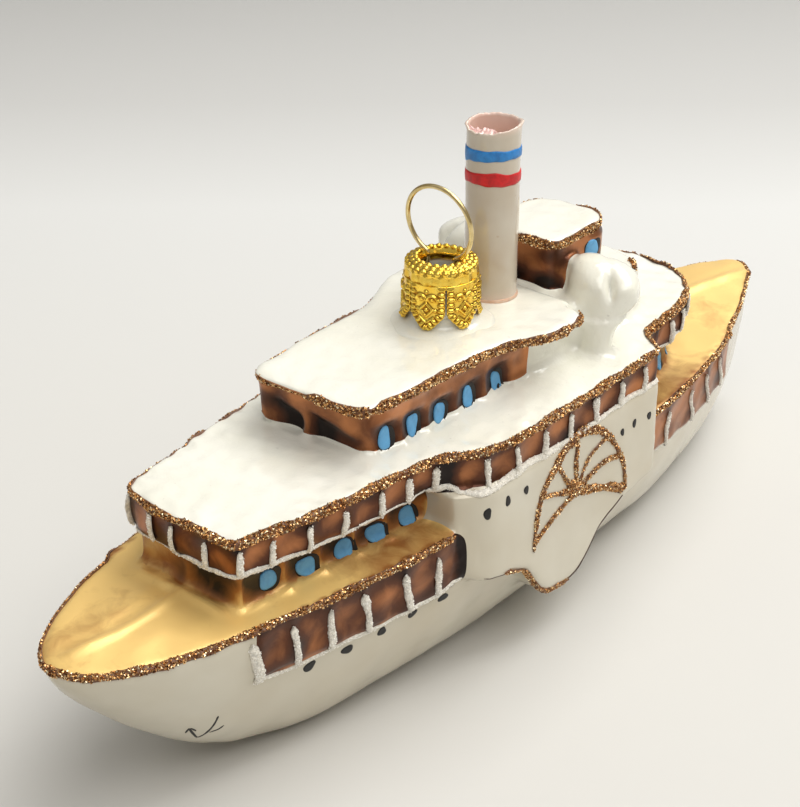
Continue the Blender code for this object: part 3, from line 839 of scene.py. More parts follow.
def crystals(strokes, per_mm2, size, height, seed):
    rng = np.random.default_rng(seed)
    spots = []
    for _, _, (points, ups, across, half) in strokes:
        step = np.linalg.norm(np.diff(points, axis=0), axis=1)
        number = rng.poisson(step * (half[:-1] + half[1:]) * per_mm2)
        which = np.repeat(np.arange(len(step)), number)
        t = rng.random(len(which))[:, None]
        off = rng.uniform(-1.0, 1.0, len(which))[:, None]
        middle = points[which] * (1 - t) + points[which + 1] * t
        lift = np.sqrt(np.clip(1.0 - off ** 2, 0.0, 1.0)) * height - CRYSTAL_SUNK
        lift = lift + rng.normal(0, CRYSTAL_STRAY, (len(which), 1))
        spots.append(middle + across[which] * off * half[which][:, None] + ups[which] * lift)
    spots = np.vstack(spots)
    count = len(spots)
    scale = size * rng.uniform(*CRYSTAL_SIZES, (count, 1, 3)) * 0.5
    shape = np.einsum("nij,nkj->nki", random_turns(rng, count), SPIKES[None] * scale)
    verts = (spots[:, None] + shape).reshape(-1, 3)
    faces = (FACETS[None] + 5 * np.arange(count)[:, None, None]).reshape(-1, 3)
    tint = np.repeat(rng.random(count), 5)
    return verts, faces, tint

def glitter(name, strokes, mat, slot, per_mm2, size, height, seed):
    verts, faces, tint = crystals(strokes, per_mm2, size, height, seed)
    obj = mesh_object(name, verts, faces.tolist(), mat, False)
    keep_number(obj, "tint", tint)
    print(name, "crystals", len(faces) // len(FACETS))
    return belongs(obj, "glass", slot)

def glitter_material(name, stops, rough, metal):
    mat = new_material(name, stops[1][1], rough, metal)
    coloured(mat, ramp(mat, attribute(mat, "tint"), stops))
    return mat

bronze = glitter_material("bronze_glitter", [
    (0.0, (0.12, 0.04, 0.012)), (0.4, (0.42, 0.19, 0.06)), (0.75, (0.85, 0.52, 0.22)),
    (1.0, (1.0, 0.88, 0.60))], 0.2, 0.85)
frost = glitter_material("white_glitter", [
    (0.0, (0.82, 0.78, 0.69)), (0.5, (0.95, 0.92, 0.84)), (1.0, (1.0, 0.99, 0.95))], 0.25, 0.0)
print("glitter", bronze.name, frost.name)

# %% Glue under the glitter
def glue_material(name, colour):
    mat = new_material(name, colour, 0.45)
    darker = tuple(c * 0.6 for c in colour)
    return clouded(mat, noise(mat, 2500.0, 2.0), darker, colour, 0.5, 0.0002)

def glittered(name, strokes, kind, slot, size, height, seed):
    glue, grains, per_mm2 = kind
    painted(name + "_glue", strokes, glue, slot)
    glitter(name + "_glitter", strokes, grains, slot, per_mm2, size, height, seed)

BRONZE_PER_MM2, FROST_PER_MM2 = 34.0, 32.0
bronze_glue = glue_material("bronze_glue", (0.19, 0.075, 0.028))
frost_glue = glue_material("white_glue", (0.95, 0.91, 0.81))
BRONZE = (bronze_glue, bronze, BRONZE_PER_MM2)
FROST = (frost_glue, frost, FROST_PER_MM2)
print("glue", bronze_glue.name, frost_glue.name)

# %% [markdown]
# ## Bronze lines
# Bronze glitter runs along the deck edge, round the rim of the promenade, the upper roof and the aft house,
# along the lower edge of each paddle box, and draws a half wheel on its side.

# %% Deck edge lines
DECK_EDGE = [
    (72.8, 0.0), (72.3, 2.2), (71.4, 3.9), (68.1, 6.7), (63.8, 9.0), (59.0, 10.8), (55.0, 11.8),
    (51.0, 12.7), (44.0, 14.3), (36.5, 15.7), (30.0, 16.7), (23.2, 17.4),
]
STERN_EDGE = [
    (-20.4, 17.8), (-26.0, 17.4), (-31.3, 16.7), (-35.6, 16.0), (-40.8, 15.0), (-46.8, 13.5), (-52.4, 11.5),
    (-60.3, 8.3), (-64.5, 6.4), (-68.5, 4.4), (-71.3, 2.4), (-72.4, 1.3), (-72.8, 0.0),
]

PATH_STEP, FAR_TILT, FAR_DROP = 0.6, 0.35, 0.45

def mirrored(plan):
    return [(px, -py) for px, py in plan[::-1]]

def around_ship(plan):
    return mirrored(plan) + list(plan[1:])

def edge_stroke(plan, level, tilt, width, height, seed, inset=0.25, widths=None):
    path = evenly(plan, PATH_STEP)
    along = np.gradient(path, axis=0)
    out = unit(np.stack([along[:, 1], -along[:, 0]], 1))
    out *= np.sign((out * (path - path.mean(0))).sum(1))[:, None]
    if isinstance(level, list):
        levels = np.interp(along_plan(path), *zip(*level))
    else:
        levels = np.full(len(path), level)
    places = formed(np.column_stack([path - out * inset, levels]))
    port = ramp_between(path[:, 1], -2.0, 2.0)
    tilt = np.radians(tilt * (FAR_TILT + (1.0 - FAR_TILT) * port))
    places[:, 2] -= FAR_DROP * (1.0 - port)
    outwards = np.column_stack([out * np.cos(tilt)[:, None], np.sin(tilt)])
    if widths:
        width = np.interp(along_plan(path), *zip(*widths))
    return stroke(places, outwards, width, height, seed)

bow_line = edge_stroke(around_ship(DECK_EDGE), 23.85, 36.0, 1.0, 0.24, 11)
stern_line = edge_stroke(STERN_EDGE + mirrored(STERN_EDGE)[1:], 22.4, 32.0, 0.85, 0.22, 12)
glittered("deck_edge", [bow_line, stern_line], BRONZE, "deck", 0.36, 0.26, 21)

# %% Roof rims
UPPER_RIM = [
    (31.2, 0.0), (31.1, 6.5), (30.5, 8.4), (29.0, 9.4), (19.4, 9.9), (9.8, 10.2), (6.0, 10.8),
    (2.6, 12.3), (-1.0, 13.95), (-4.5, 14.3), (-7.6, 13.8), (-8.4, 12.8),
]
AFT_RIM = [
    (-11.6, 0.0), (-11.6, 5.0), (-12.8, 6.2), (-22.2, 6.2), (-24.1, 4.9), (-25.0, 2.6), (-25.0, 0.0),
]
SIDES = (1, -1)
BOAT_DECK_MARK = [(-28.9, 7.2, 40.6), (-28.4, 8.0, 40.4), (-27.5, 8.7, 40.2), (-26.5, 9.3, 40.0)]

promenade_rim = edge_stroke(around_ship(PROMENADE), 33.75, 30.0, 1.2, 0.26, 13)
upper_rim = edge_stroke(around_ship(UPPER_RIM), 40.95, 18.0, 1.4, 0.28, 14)
aft_rim = edge_stroke(around_ship(AFT_RIM), 47.45, 14.0, 1.45, 0.26, 15, 0.2)
rims = [promenade_rim, upper_rim, aft_rim]
for side in SIDES:
    mark = rounded_path(BOAT_DECK_MARK, 0.4) * (1.0, side, 1.0)
    rims.append(stroke(mark, straight_out(len(mark), (-0.5, 0.3 * side, 0.8)), 0.85, 0.25, 16))
glittered("roof_rim", rims, BRONZE, "roof", 0.38, 0.28, 22)

# %% [markdown]
# The side of each paddle box carries half a wheel: an arc, a hub and spokes. Its points were read off the
# photograph as distances along the ship and heights, and they are used again on the other side.

# %% Half wheels on the paddle boxes
HUB = (0.6, 20.9)
WHEEL_ARC = [
    (9.8, 16.0), (9.4, 20.0), (8.7, 22.7), (7.9, 24.5), (5.5, 27.1), (2.4, 28.8), (-0.8, 29.0), (-3.7, 28.3),
    (-6.4, 26.2), (-9.0, 22.9), (-10.3, 20.1), (-11.1, 17.2), (-10.9, 15.9),
]
SPOKES = [
    [(5.8, 19.5), (9.6, 17.0)], [(6.0, 22.9), (8.4, 23.6)], [(3.5, 24.2), (5.2, 27.0)],
    [(1.2, 25.2), (0.6, 28.8)], [(-1.4, 24.5), (-3.7, 25.5), (-6.2, 26.0)],
    [(-4.5, 22.7), (-9.3, 21.9)], [(-6.1, 18.5), (-10.9, 16.0)],
]
BOX_EDGE_THIN = [(19.2, 16.1), (17.6, 15.7), (15.6, 15.6)]
BOX_EDGE = [
    (15.9, 15.8), (13.9, 15.1), (11.2, 13.6), (9.4, 11.4), (8.0, 9.2), (6.2, 8.0), (3.6, 7.7), (1.6, 7.8),
]
BOX_EDGE_END = [(2.0, 7.7), (0.2, 8.0), (-1.2, 9.1), (-3.6, 11.0), (-6.2, 13.2), (-8.8, 14.3), (-10.6, 15.1)]
ARC_WIDTHS = [0.55, 0.75, 1.0, 1.15, 1.25, 1.3, 1.35, 1.25, 1.05, 0.95, 0.9, 0.9, 0.8]
SPOKE_WIDTHS = [
    [1.1, 0.8, 0.75], [1.2, 0.7, 0.6], [1.7, 0.9, 0.45], [1.1, 0.8, 0.7], [1.0, 0.5, 0.45, 0.5],
    [1.2, 0.7, 1.0], [1.2, 1.1, 1.35],
]
BOX_EDGE_WIDTHS = [0.8, 1.25, 1.4, 1.25, 1.0, 0.5]
BOX_PLANE, LINE_STEP, LINE_WANDER = 19.6, 0.45, 0.16

def on_side(path, plane):
    return np.column_stack([path[:, 0], np.full(len(path), plane), path[:, 1]])

def side_stroke(path, side, width, height, seed, out=(0.0, 1.0, 0.0)):
    path = rounded_path(path, LINE_STEP)
    outwards = straight_out(len(path), (out[0], out[1] * side, out[2]))
    if isinstance(width, list):
        width = np.interp(*(np.linspace(0.0, 1.0, len(v)) for v in (path, width)), width)
    return stroke(on_side(path, BOX_PLANE * side), outwards, width, height, seed, LINE_WANDER)

wheels, dull_lines = [], []
hub_blob = [(HUB[0] + 0.9, HUB[1]), (HUB[0] - 1.0, HUB[1] + 0.4)]
below = (0.0, 0.92, -0.38)
for side in SIDES:
    wheels.append(side_stroke(WHEEL_ARC, side, ARC_WIDTHS, 0.24, 31 + side))
    wheels.append(side_stroke(hub_blob, side, 2.5, 0.3, 33 + side))
    for number, (bends, widths) in enumerate(zip(SPOKES, SPOKE_WIDTHS)):
        wheels.append(side_stroke([HUB] + bends, side, widths, 0.22, 40 + 2 * number + side))
    wheels.append(side_stroke(BOX_EDGE, side, BOX_EDGE_WIDTHS, 0.26, 60 + side, below))
    dull_lines.append(side_stroke(BOX_EDGE_END, side, 0.34, 0.1, 62 + side, below))
    dull_lines.append(side_stroke(BOX_EDGE_THIN, side, 0.22, 0.07, 64 + side, below))
painted("wheel_drawing_glue", wheels, bronze_glue, "hull")
painted("box_edge_line", dull_lines, glue_material("umber_glue", (0.06, 0.02, 0.01)), "hull")
glitter("wheel_drawing_glitter", wheels, bronze, "hull", BRONZE_PER_MM2, 0.34, 0.22, 23)

# %% [markdown]
# ## White glitter
# White glitter draws the posts of the promenade and of the bulwarks, and a line along the foot of each band.

# %% Posts
FOOT_LEVELS = [
    (0.0, BAND_FOOT), (38.6, 29.25), (40.2, 29.55), (41.6, 28.95), (44.0, 28.65), (46.5, 28.75),
    (50.0, BAND_FOOT), (98.0, BAND_FOOT),
]
POST_TOP, POST_HIGH, OVER_FOOT, POST_STEPS = 32.8, 0.36, 0.1, 12
FORE_RAIL, AFT_RAIL, RAIL_PLANE = (22.4, 16.1), (20.9, 15.2), 20.0

def band_out(s):
    ends = (max(s - 0.4, 0.0), min(s + 0.4, PLAN_LENGTH))
    before, after = (plan_place(PROMENADE, end) for end in ends)
    along = (after - before) / np.linalg.norm(after - before)
    out = np.array([along[1], -along[0]])
    return out if out @ plan_place(PROMENADE, s) > 0 else -out

def band_post(s, side, width, seed):
    side = -side if s < 0 else side
    spot, out = plan_place(PROMENADE, abs(s)), band_out(abs(s))
    low = np.interp(abs(s), *zip(*FOOT_LEVELS)) + OVER_FOOT
    levels = np.linspace(low, POST_TOP, POST_STEPS - 1)
    places = formed([(spot[0], spot[1] * side, level) for level in levels])
    outwards = straight_out(len(places), (out[0], out[1] * side, 0.0))
    return stroke(places, outwards, width, POST_HIGH, seed, LINE_WANDER)

def rail_post(ends, side, width, seed, sway=0.0):
    top, low = ends
    high, foot = FORE_RAIL if top > 0 else AFT_RAIL
    t = np.linspace(0.0, 1.0, POST_STEPS)
    bend = sway * np.sin(t * 2 * math.pi)
    path = np.column_stack([top + (low - top) * t + bend, high + (foot - high) * t])
    outwards = straight_out(len(t), (0.0, side, 0.0))
    return stroke(on_side(path, RAIL_PLANE * side), outwards, width, POST_HIGH, seed, LINE_WANDER)

def rail_posts(ends, side, first_width, width, seed, sway=0.0):
    return [rail_post(p, side, width if i else first_width, seed + 20 * side + i, sway * (i > 0))
            for i, p in enumerate(ends)]

posts = [band_post(s, 1, 0.85, 100 + i) for i, s in enumerate(FRONT_POSTS)]
for side in SIDES:
    posts.append(band_post(CORNER_POSTS[1], side, 0.9, 310 + side))
    posts += [band_post(s, side, 0.85, 200 + 40 * side + i) for i, s in enumerate(PORT_POSTS)]
    posts.append(band_post(CORNER_POSTS[0], side, 1.25, 300 + side))
    posts += rail_posts(FORE_POSTS, side, 1.35, 0.9, 400)
    posts += rail_posts(AFT_POSTS, side, 0.8, 0.5, 440, 0.35)
glittered("white_posts", posts, FROST, "panel", 0.25, 0.34, 24)

# %% Foot lines
FOOT_WIDTHS = [
    (0.0, 0.75), (32.0, 0.7), (38.0, 0.95), (50.0, 1.05), (58.0, 0.85), (74.0, 0.75), (98.0, 0.6),
]
BAND_PART, AFT_PART = PROMENADE[:17], PROMENADE[17:24]
FORE_FOOT = [(53.0, 16.5), (47.0, 15.9), (36.5, 15.9), (26.0, 16.2), (21.6, 17.2)]

def foot_line(path, side, seed, width):
    path = evenly(path, PATH_STEP)
    outwards = straight_out(len(path), (0.0, side, 0.0))
    return stroke(on_side(path, RAIL_PLANE * side), outwards, width, 0.2, seed, 0.25)

feet = []
for side in SIDES:
    band, aft = BAND_PART * (1.0, side), AFT_PART * (1.0, side)
    feet.append(edge_stroke(band, FOOT_LEVELS, 0.0, 0.7, 0.26, 71 + side, 0.0, FOOT_WIDTHS))
    feet.append(foot_line(FORE_FOOT, side, 75 + side, 0.6))
    feet.append(edge_stroke(aft, BAND_FOOT, -10.0, 0.3, 0.1, 77 + side, 0.0))
glittered("white_foot", feet, FROST, "panel", 0.24, 0.24, 25)

# %% [markdown]
# ## Windows and portholes
# A window is a dab of matt blue over a larger dab of black that shows as its outline. Each dab is a wobbly
# disc whose points are seated on the glass one by one, so it bends with the wall.

# %% Dabs of paint
DAB_RINGS = [(1.02, -0.1), (1.0, 0.55), (0.86, 0.95), (0.55, 1.0), (0.02, 1.0)]
DAB_SPOKES, DAB_DEEPEST, SEAT_FROM, SEAT_REACH = 24, 0.4, 1.5, 3.2

def dab_reach(turn, square, wobble, rng):
    reach = (np.abs(np.cos(turn)) ** square + np.abs(np.sin(turn)) ** square) ** (-1.0 / square)
    waver = np.sin(2 * turn + rng.uniform(0, 6)) + np.sin(3 * turn + rng.uniform(0, 6))
    return reach * (1.0 + wobble * waver)

def dab(centre, outward, wide, tall, lift, seed, square=2.6, wobble=0.06):
    out = np.array(outward, float)
    out /= np.linalg.norm(out)
    right = np.cross((0.0, 0.0, 1.0), out)
    right /= np.linalg.norm(right)
    up = np.cross(out, right)
    middle, facing = seat(centre, out)
    turn = np.arange(DAB_SPOKES) * 2 * math.pi / DAB_SPOKES
    reach = dab_reach(turn, square, wobble, np.random.default_rng(seed))
    verts = []
    for size, rise in DAB_RINGS:
        for angle, far in zip(turn, reach):
            u, v = wide / 2 * far * size * math.cos(angle), tall / 2 * far * size * math.sin(angle)
            place = middle + right * u + up * v
            hit = skin_tree.ray_cast(Vector(place + out * SEAT_FROM), Vector(-out), SEAT_REACH)[0]
            tilt = -np.dot(place - middle, facing) / max(np.dot(out, facing), 0.4)
            deep = tilt if hit is None else np.dot(np.array(hit) - place, out)
            bent = DAB_DEEPEST * math.tanh((deep - tilt) / DAB_DEEPEST)
            verts.append(place + out * (tilt + bent + lift * rise))
    faces = ring_quads(len(DAB_RINGS), DAB_SPOKES, flip=True)
    faces.append(tuple(range(len(verts) - DAB_SPOKES, len(verts))))
    return np.array(verts), faces

def paint_material(name, colour, rough, dark):
    mat = new_material(name, colour, rough)
    return clouded(mat, noise(mat, 700.0, 3.0, 0.6, 1.0), dark, colour, 0.35, 0.00015, 0.6)

sky_paint = paint_material("sky_blue_paint", (0.14, 0.43, 0.75), 0.5, (0.10, 0.34, 0.64))
black_paint = paint_material("black_paint", (0.006, 0.005, 0.005), 0.55, (0.012, 0.010, 0.010))
print("paints", sky_paint.name, black_paint.name)

# %% Windows
WINDOW_ROWS = [
    ([(25.9, 35.7), (21.1, 35.7), (16.1, 35.4), (10.9, 35.7), (5.0, 35.35)], 9.6, 1.8, 2.9),
    ([(47.2, 26.2), (41.4, 25.4), (35.4, 25.2), (30.2, 25.2), (24.8, 25.3)], 10.5, 2.5, 2.35),
    ([(-36.6, 24.3), (-31.6, 24.4)], 11.3, 1.5, 2.5), ([(-20.2, 44.6)], 5.8, 2.2, 2.4),
]
SIDEWAYS, DOWNWARDS, WIDER, TALLER = -0.3, -0.05, 0.7, 0.4
BLUE_LIFT, BLACK_LIFT = 0.22, 0.1
blues, blacks = [], []
for side in SIDES:
    for row, (spots, reach, wide, tall) in enumerate(WINDOW_ROWS):
        for i, (wx, wz) in enumerate(spots):
            seed = 500 + 40 * row + 3 * i + side
            out = (0.12 if wx > 0 else -0.1, side, 0.0)
            under = (wx + SIDEWAYS, reach * side, wz + DOWNWARDS)
            blues.append(dab((wx, reach * side, wz), out, wide, tall, BLUE_LIFT, seed))
            blacks.append(dab(under, out, wide + WIDER, tall + TALLER, BLACK_LIFT, seed + 1))
painted("blue_windows", blues, sky_paint, "panel")
painted("window_outlines", blacks, black_paint, "panel")
print("windows", len(blues))

# %% Portholes
PORTHOLES = [
    (44.7, 14.4, 1.75, 1.4), (39.2, 14.3, 1.6, 1.3), (33.9, 14.5, 1.45, 1.2), (29.0, 14.8, 1.4, 1.15),
    (23.8, 14.8, 1.6, 1.2), (18.8, 25.8, 1.05, 1.45), (15.4, 26.3, 0.95, 1.35), (11.7, 26.2, 0.9, 1.25),
    (-9.9, 25.1, 0.8, 1.05), (-12.8, 25.2, 0.85, 1.15), (-16.5, 24.8, 0.9, 1.2), (-27.5, 14.2, 1.0, 0.7),
]
HOLE_PLANE = 17.0
holes = []
for side in SIDES:
    for i, (px, pz, wide, tall) in enumerate(PORTHOLES):
        place, seed = (px, HOLE_PLANE * side, pz), 700 + 3 * i + side
        holes.append(dab(place, (0.0, side, 0.0), wide, tall, BLACK_LIFT, seed, 2.2, 0.09))
painted("portholes", holes, black_paint, "hull")
print("portholes", len(holes))

# %% [markdown]
# A small anchor is drawn in thin black strokes on each side of the bow.

# %% Anchors
ANCHOR = [
    [(56.5, 8.8, 12.4), (56.5, 8.1, 10.9), (56.6, 7.4, 9.7), (56.7, 6.4, 8.6), (57.0, 5.5, 7.8),
     (57.4, 5.6, 8.3)],
    [(57.1, 5.5, 7.9), (58.3, 6.1, 9.7), (59.1, 6.5, 11.0)],
    [(58.9, 5.6, 9.7), (59.1, 6.6, 11.2), (58.0, 6.5, 9.9)],
    [(56.4, 7.0, 9.0), (55.6, 7.8, 9.4), (55.3, 8.3, 10.1)],
]
lines = []
for side in SIDES:
    for i, path in enumerate(ANCHOR):
        path = rounded_path(path, 0.3) * (1.0, side, 1.0)
        outwards = straight_out(len(path), (0.35, 0.8 * side, -0.45))
        lines.append(stroke(path, outwards, 0.42, 0.05, 800 + i, 0.1))
painted("bow_anchors", lines, black_paint, "hull")
print("anchor strokes", len(lines))

# %% [markdown]
# ## Funnel, neck and glue
# The funnel is a cut glass tube, enamelled white, with a broken lip. A blue and a red band are brushed round
# it. Pinkish glue holds it, and the same pink shows on the inside of the tube and at its lip. The tube is one
# outline turned round its axis. The height of the lip changes with the turn, and so does the outline. A
# number stored on each point, called blush, says how much pink lies there.

# %% Funnel
FUNNEL_X, FUNNEL_R, FUNNEL_LOW, WALL = -5.75, 3.55, 41.0, 0.42
BREAK = -50.0
ROUND = [-50.0, -10.0, 39.8, 85.0, 130.0, 175.0, 219.0, 265.0, 310.0]
LIP = [65.15, 64.85, 65.05, 65.3, 65.55, 65.42, 65.4, 65.4, 65.15]

def turned(profile_of, axis_x, steps):
    verts = []
    for s in range(steps):
        turn = 2 * math.pi * s / steps
        verts += [(axis_x + r * math.cos(turn), r * math.sin(turn), h) for r, h in profile_of(turn)]
    return np.array(verts), ring_quads(steps, len(verts) // steps, closed=True)

def round_height(heights, turn):
    at = (math.degrees(turn) - BREAK) % 360.0 + BREAK
    slot = int(np.clip(np.searchsorted(ROUND, at) - 1, 0, len(ROUND) - 2))
    t = (at - ROUND[slot]) / (ROUND[slot + 1] - ROUND[slot])
    return heights[slot] + (heights[slot + 1] - heights[slot]) * (1.0 - math.cos(math.pi * t)) / 2

def turned_from(turn, middle):
    return (math.degrees(turn) - middle + 180.0) % 360.0 - 180.0

def broken(turn):
    at = turned_from(turn, BREAK)
    return float(ramp_between(at, 2.0, 26.0) * ramp_between(-at, -98.0, -86.0))

def bulge(turn, middle, half):
    return math.exp(-(turned_from(turn, middle) / half) ** 2)

def lip_height(turn):
    fine = 0.04 * math.sin(9 * turn) + 0.03 * math.sin(23 * turn + 1.0)
    teeth = 0.05 * math.sin(17 * turn + 0.6) + 0.04 * math.sin(29 * turn)
    crack = 0.4 * bulge(turn, -32.0, 5.0)
    return round_height(LIP, turn) + fine + broken(turn) * (teeth - 0.1) - crack

def funnel_profile(turn):
    top = lip_height(turn)
    spout = 0.38 * bulge(turn, 130.0, 13.0) + 0.3 * bulge(turn, BREAK, 13.0)
    outer = []
    for h in np.linspace(FUNNEL_LOW, top - 0.2, 60):
        uneven = FUNNEL_R + 0.03 * math.sin(0.5 * h + 3 * turn)
        outer.append((uneven + spout * max(0.0, 1.0 - (top - h) / 0.9) ** 2, h))
    lip = [(FUNNEL_R - 0.06 + spout, top - 0.04), (FUNNEL_R - 0.2 + spout, top),
           (FUNNEL_R - 0.36 + 0.8 * spout, top - 0.05)]
    inner = [(FUNNEL_R - WALL, h) for h in np.linspace(top - 0.4, FUNNEL_LOW, 12)]
    return outer + lip + inner

FLAKE_BENDS = [(0.0, 0.0), (0.3, -0.05), (0.65, 0.12), (1.0, 0.42)]
FLAKE_THICK = 0.14

def flakes_profile(turn):
    reach = broken(turn) * (0.95 + 0.13 * math.sin(5 * turn + 0.5) + 0.06 * math.sin(11 * turn))
    top = lip_height(turn) - 0.1
    above = [(FUNNEL_R - 0.25 - reach * t, top + reach * rise) for t, rise in FLAKE_BENDS]
    return above + [(r, h - FLAKE_THICK) for r, h in above[::-1]]

print("funnel lip", round(lip_height(0.0), 2), "to", round(lip_height(2.3), 2))

# %% Funnel enamel and its two meshes
PINK_DEPTH, INSIDE_PINK, LIP_PINK, FOOT_PINK, FUNNEL_STEPS = 0.25, 0.85, 0.4, 0.3, 144

def funnel_material(name, pale_pink, deep_pink):
    mat = new_material(name, (0.78, 0.70, 0.60), 0.12, Coat_Weight=0.6, Coat_Roughness=0.04)
    wash = noise(mat, 110.0, 3.0)
    tone = two_tones(mat, wash, (0.52, 0.43, 0.32), (0.62, 0.565, 0.47))
    brown = two_tones(mat, wash, (0.40, 0.26, 0.16), (0.50, 0.34, 0.22), 0.0, 1.0)
    blush = two_tones(mat, attribute(mat, "blush"), BLACK, WHITE, 0.0, 1.0)
    pink = two_tones(mat, wash, deep_pink, pale_pink)
    coloured(mat, mixed(mat, blush, dusted(mat, 1300.0, 0.3, tone, brown), pink))
    bump(mat, noise(mat, 260.0, 3.0), 0.25, 0.0004)
    return mat

def funnel_piece(name, profile, mat, *nodes):
    points, faces = turned(profile, FUNNEL_X, FUNNEL_STEPS)
    piece = mesh_object(name, points, faces, mat)
    radius = np.hypot(points[:, 0] - FUNNEL_X, points[:, 1])
    blush = np.where(radius < FUNNEL_R - PINK_DEPTH, INSIDE_PINK, 0.0)
    blush = np.maximum(blush, ramp_between(points[:, 2], 64.2, 65.3) * LIP_PINK)
    blush = np.maximum(blush, ramp_between(-points[:, 2], -43.5, -41.6) * FOOT_PINK)
    keep_number(piece, "blush", blush)
    belongs(piece, "glass", "funnel", *nodes)

tube_glass = funnel_material("funnel_enamel", (0.94, 0.72, 0.63), (0.87, 0.57, 0.48))
flake_glass = funnel_material("flake_glass", (0.86, 0.56, 0.52), (0.70, 0.32, 0.30))
funnel_piece("funnel_tube", funnel_profile, tube_glass, "funnel")
funnel_piece("funnel_flakes", flakes_profile, flake_glass)
print("funnel finishes", tube_glass.name, flake_glass.name)

# %% Bands
BANDS = {
    "blue": ([60.31, 60.95, 61.2, 61.28, 61.04, 60.9, 60.8, 60.5, 60.31],
             [62.26, 62.48, 62.64, 62.48, 62.25, 62.2, 62.3, 62.3, 62.26],
             (0.025, 0.25, 0.66), (0.015, 0.15, 0.45)),
    "red": ([57.61, 57.9, 57.8, 57.74, 57.71, 57.5, 57.4, 57.5, 57.61],
            [59.08, 59.32, 59.68, 59.21, 58.95, 58.9, 59.0, 59.0, 59.08],
            (0.68, 0.008, 0.010), (0.46, 0.004, 0.006)),
}
PAINT_RISE, PAINT_ARCH = 0.07, 0.05

def band_profile(low, high):
    def profile(turn):
        bottom = round_height(low, turn) + 0.04 * math.sin(11 * turn)
        top = round_height(high, turn) + 0.04 * math.sin(9 * turn + 1.0)
        face = [(FUNNEL_R + PAINT_RISE + PAINT_ARCH * math.sin(math.pi * t), bottom + (top - bottom) * t)
                for t in np.linspace(0.0, 1.0, 7)]
        return [(FUNNEL_R - 0.1, bottom)] + face + [(FUNNEL_R - 0.1, top)]
    return profile

for label, (low, high, colour, dark) in BANDS.items():
    mat = paint_material("band_" + label + "_paint", colour, 0.45, dark)
    band = turned(band_profile(low, high), FUNNEL_X, 96)
    belongs(mesh_object("funnel_band_" + label, *band, mat), "glass", "funnel")
print("bands", list(BANDS))

# %% Glue and neck
GLUE_FOOT = 41.35
CAP_X = 4.75
NECK_FOOT = [
    (4.1, 43.9), (4.25, 43.1), (4.42, 42.35), (4.85, 41.9), (5.6, 41.66), (6.4, 41.52), (7.2, 41.3),
    (7.2, 40.9), (4.1, 40.9),
]

def glue_profile(turn):
    swell = 1.0 + 0.25 * math.sin(3 * turn + 1.0) + 0.2 * math.sin(7 * turn)
    return [(FUNNEL_R - 0.05, GLUE_FOOT + 0.5), (FUNNEL_R + 0.06 * swell, GLUE_FOOT + 0.4),
            (FUNNEL_R + 0.12 * swell, GLUE_FOOT + 0.15), (FUNNEL_R + 0.2 * swell, GLUE_FOOT),
            (FUNNEL_R - 0.05, GLUE_FOOT - 0.1)]

def glue_pink_material():
    mat = new_material("pink_glue", (0.80, 0.55, 0.46), 0.3, Subsurface_Weight=0.3,
                       Subsurface_Radius=(0.002, 0.001, 0.0007))
    return clouded(mat, noise(mat, 400.0, 3.0), (0.66, 0.38, 0.24), (0.84, 0.62, 0.48), 0.3, 0.0003)

def neck_material():
    mat = new_material("neck_glass", (0.74, 0.73, 0.66), 0.12, Coat_Weight=0.4)
    return clouded(mat, noise(mat, 300.0, 2.0), (0.70, 0.69, 0.61), (0.78, 0.77, 0.70), 0.25, 0.0003)

glue_ring = mesh_object("funnel_glue_bead", *turned(glue_profile, FUNNEL_X, 72), glue_pink_material())
belongs(glue_ring, "glass", "glue", "funnel_glue")
neck_foot = mesh_object("neck_foot", *turned(lambda turn: NECK_FOOT, CAP_X, 96), enamel)
belongs(neck_foot, "glass", "roof")
neck_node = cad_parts["neck"]
neck_node.data.materials.clear()
neck_node.data.materials.append(neck_material())
print("neck finished")

# %% [markdown]
# ## Crown cap
# The cap is thin brass, stamped with beads, arches and lozenges and cut into six lobes. The dome is one
# turned sheet. Each lobe is a bent sheet of its own below it, and the stamping is a height added to its
# outer face.

# %% Cap stamping
LOBE_TOP, LOBE_TIP = 48.1, 41.95
DOME_CURVE = [
    (2.62, 49.25), (2.64, 49.5), (2.8, 49.86), (3.02, 50.22), (3.26, 50.36), (3.6, 50.3),
    (4.1, 50.06), (4.52, 49.72), (4.78, 49.2), (4.86, 48.6), (4.9, 47.9),
]
DOME_ROWS = [(1.3, 20, 0.36, 0.24), (2.0, 25, 0.3, 0.15), (2.75, 28, 0.38, 0.24)]
FOLDS, FOLD_TOP, FOLD_DEEP = 15, 3.15, 0.5
SHEET = 0.22
LOBE_SIDE = np.array([
    (2.49, 0.0), (2.47, 3.9), (2.3, 4.3), (1.45, 5.2), (0.75, 5.95), (0.4, 6.13), (0.0, 6.16),
])
BORDER_IN, BORDER_STEP, SLOPE, LOZENGE_AT = 0.5, 0.74, 0.62, 3.25
LOBE_BEADS = [(0.0, 0.8), (0.75, 1.85), (1.2, 3.3), (0.0, 5.55)]

def bead(away, radius, height):
    return height * np.sqrt(np.clip(1.0 - (away / radius) ** 2, 0.0, 1.0))

def ridge_line(away, half, height):
    return height * hump(away, half)

def dome_height(turn, arc, r):
    total = np.zeros_like(arc)
    for at, count, radius, height in DOME_ROWS:
        step = ((turn * count / (2 * math.pi)) % 1.0 - 0.5) * 2 * math.pi * r / count
        total += bead(np.hypot(step, arc - at), radius, height)
    wave = abs((turn * FOLDS / (2 * math.pi)) % 1.0 - 0.5)
    return total - FOLD_DEEP * wave * ramp_between(arc, FOLD_TOP, FOLD_TOP + 0.3)

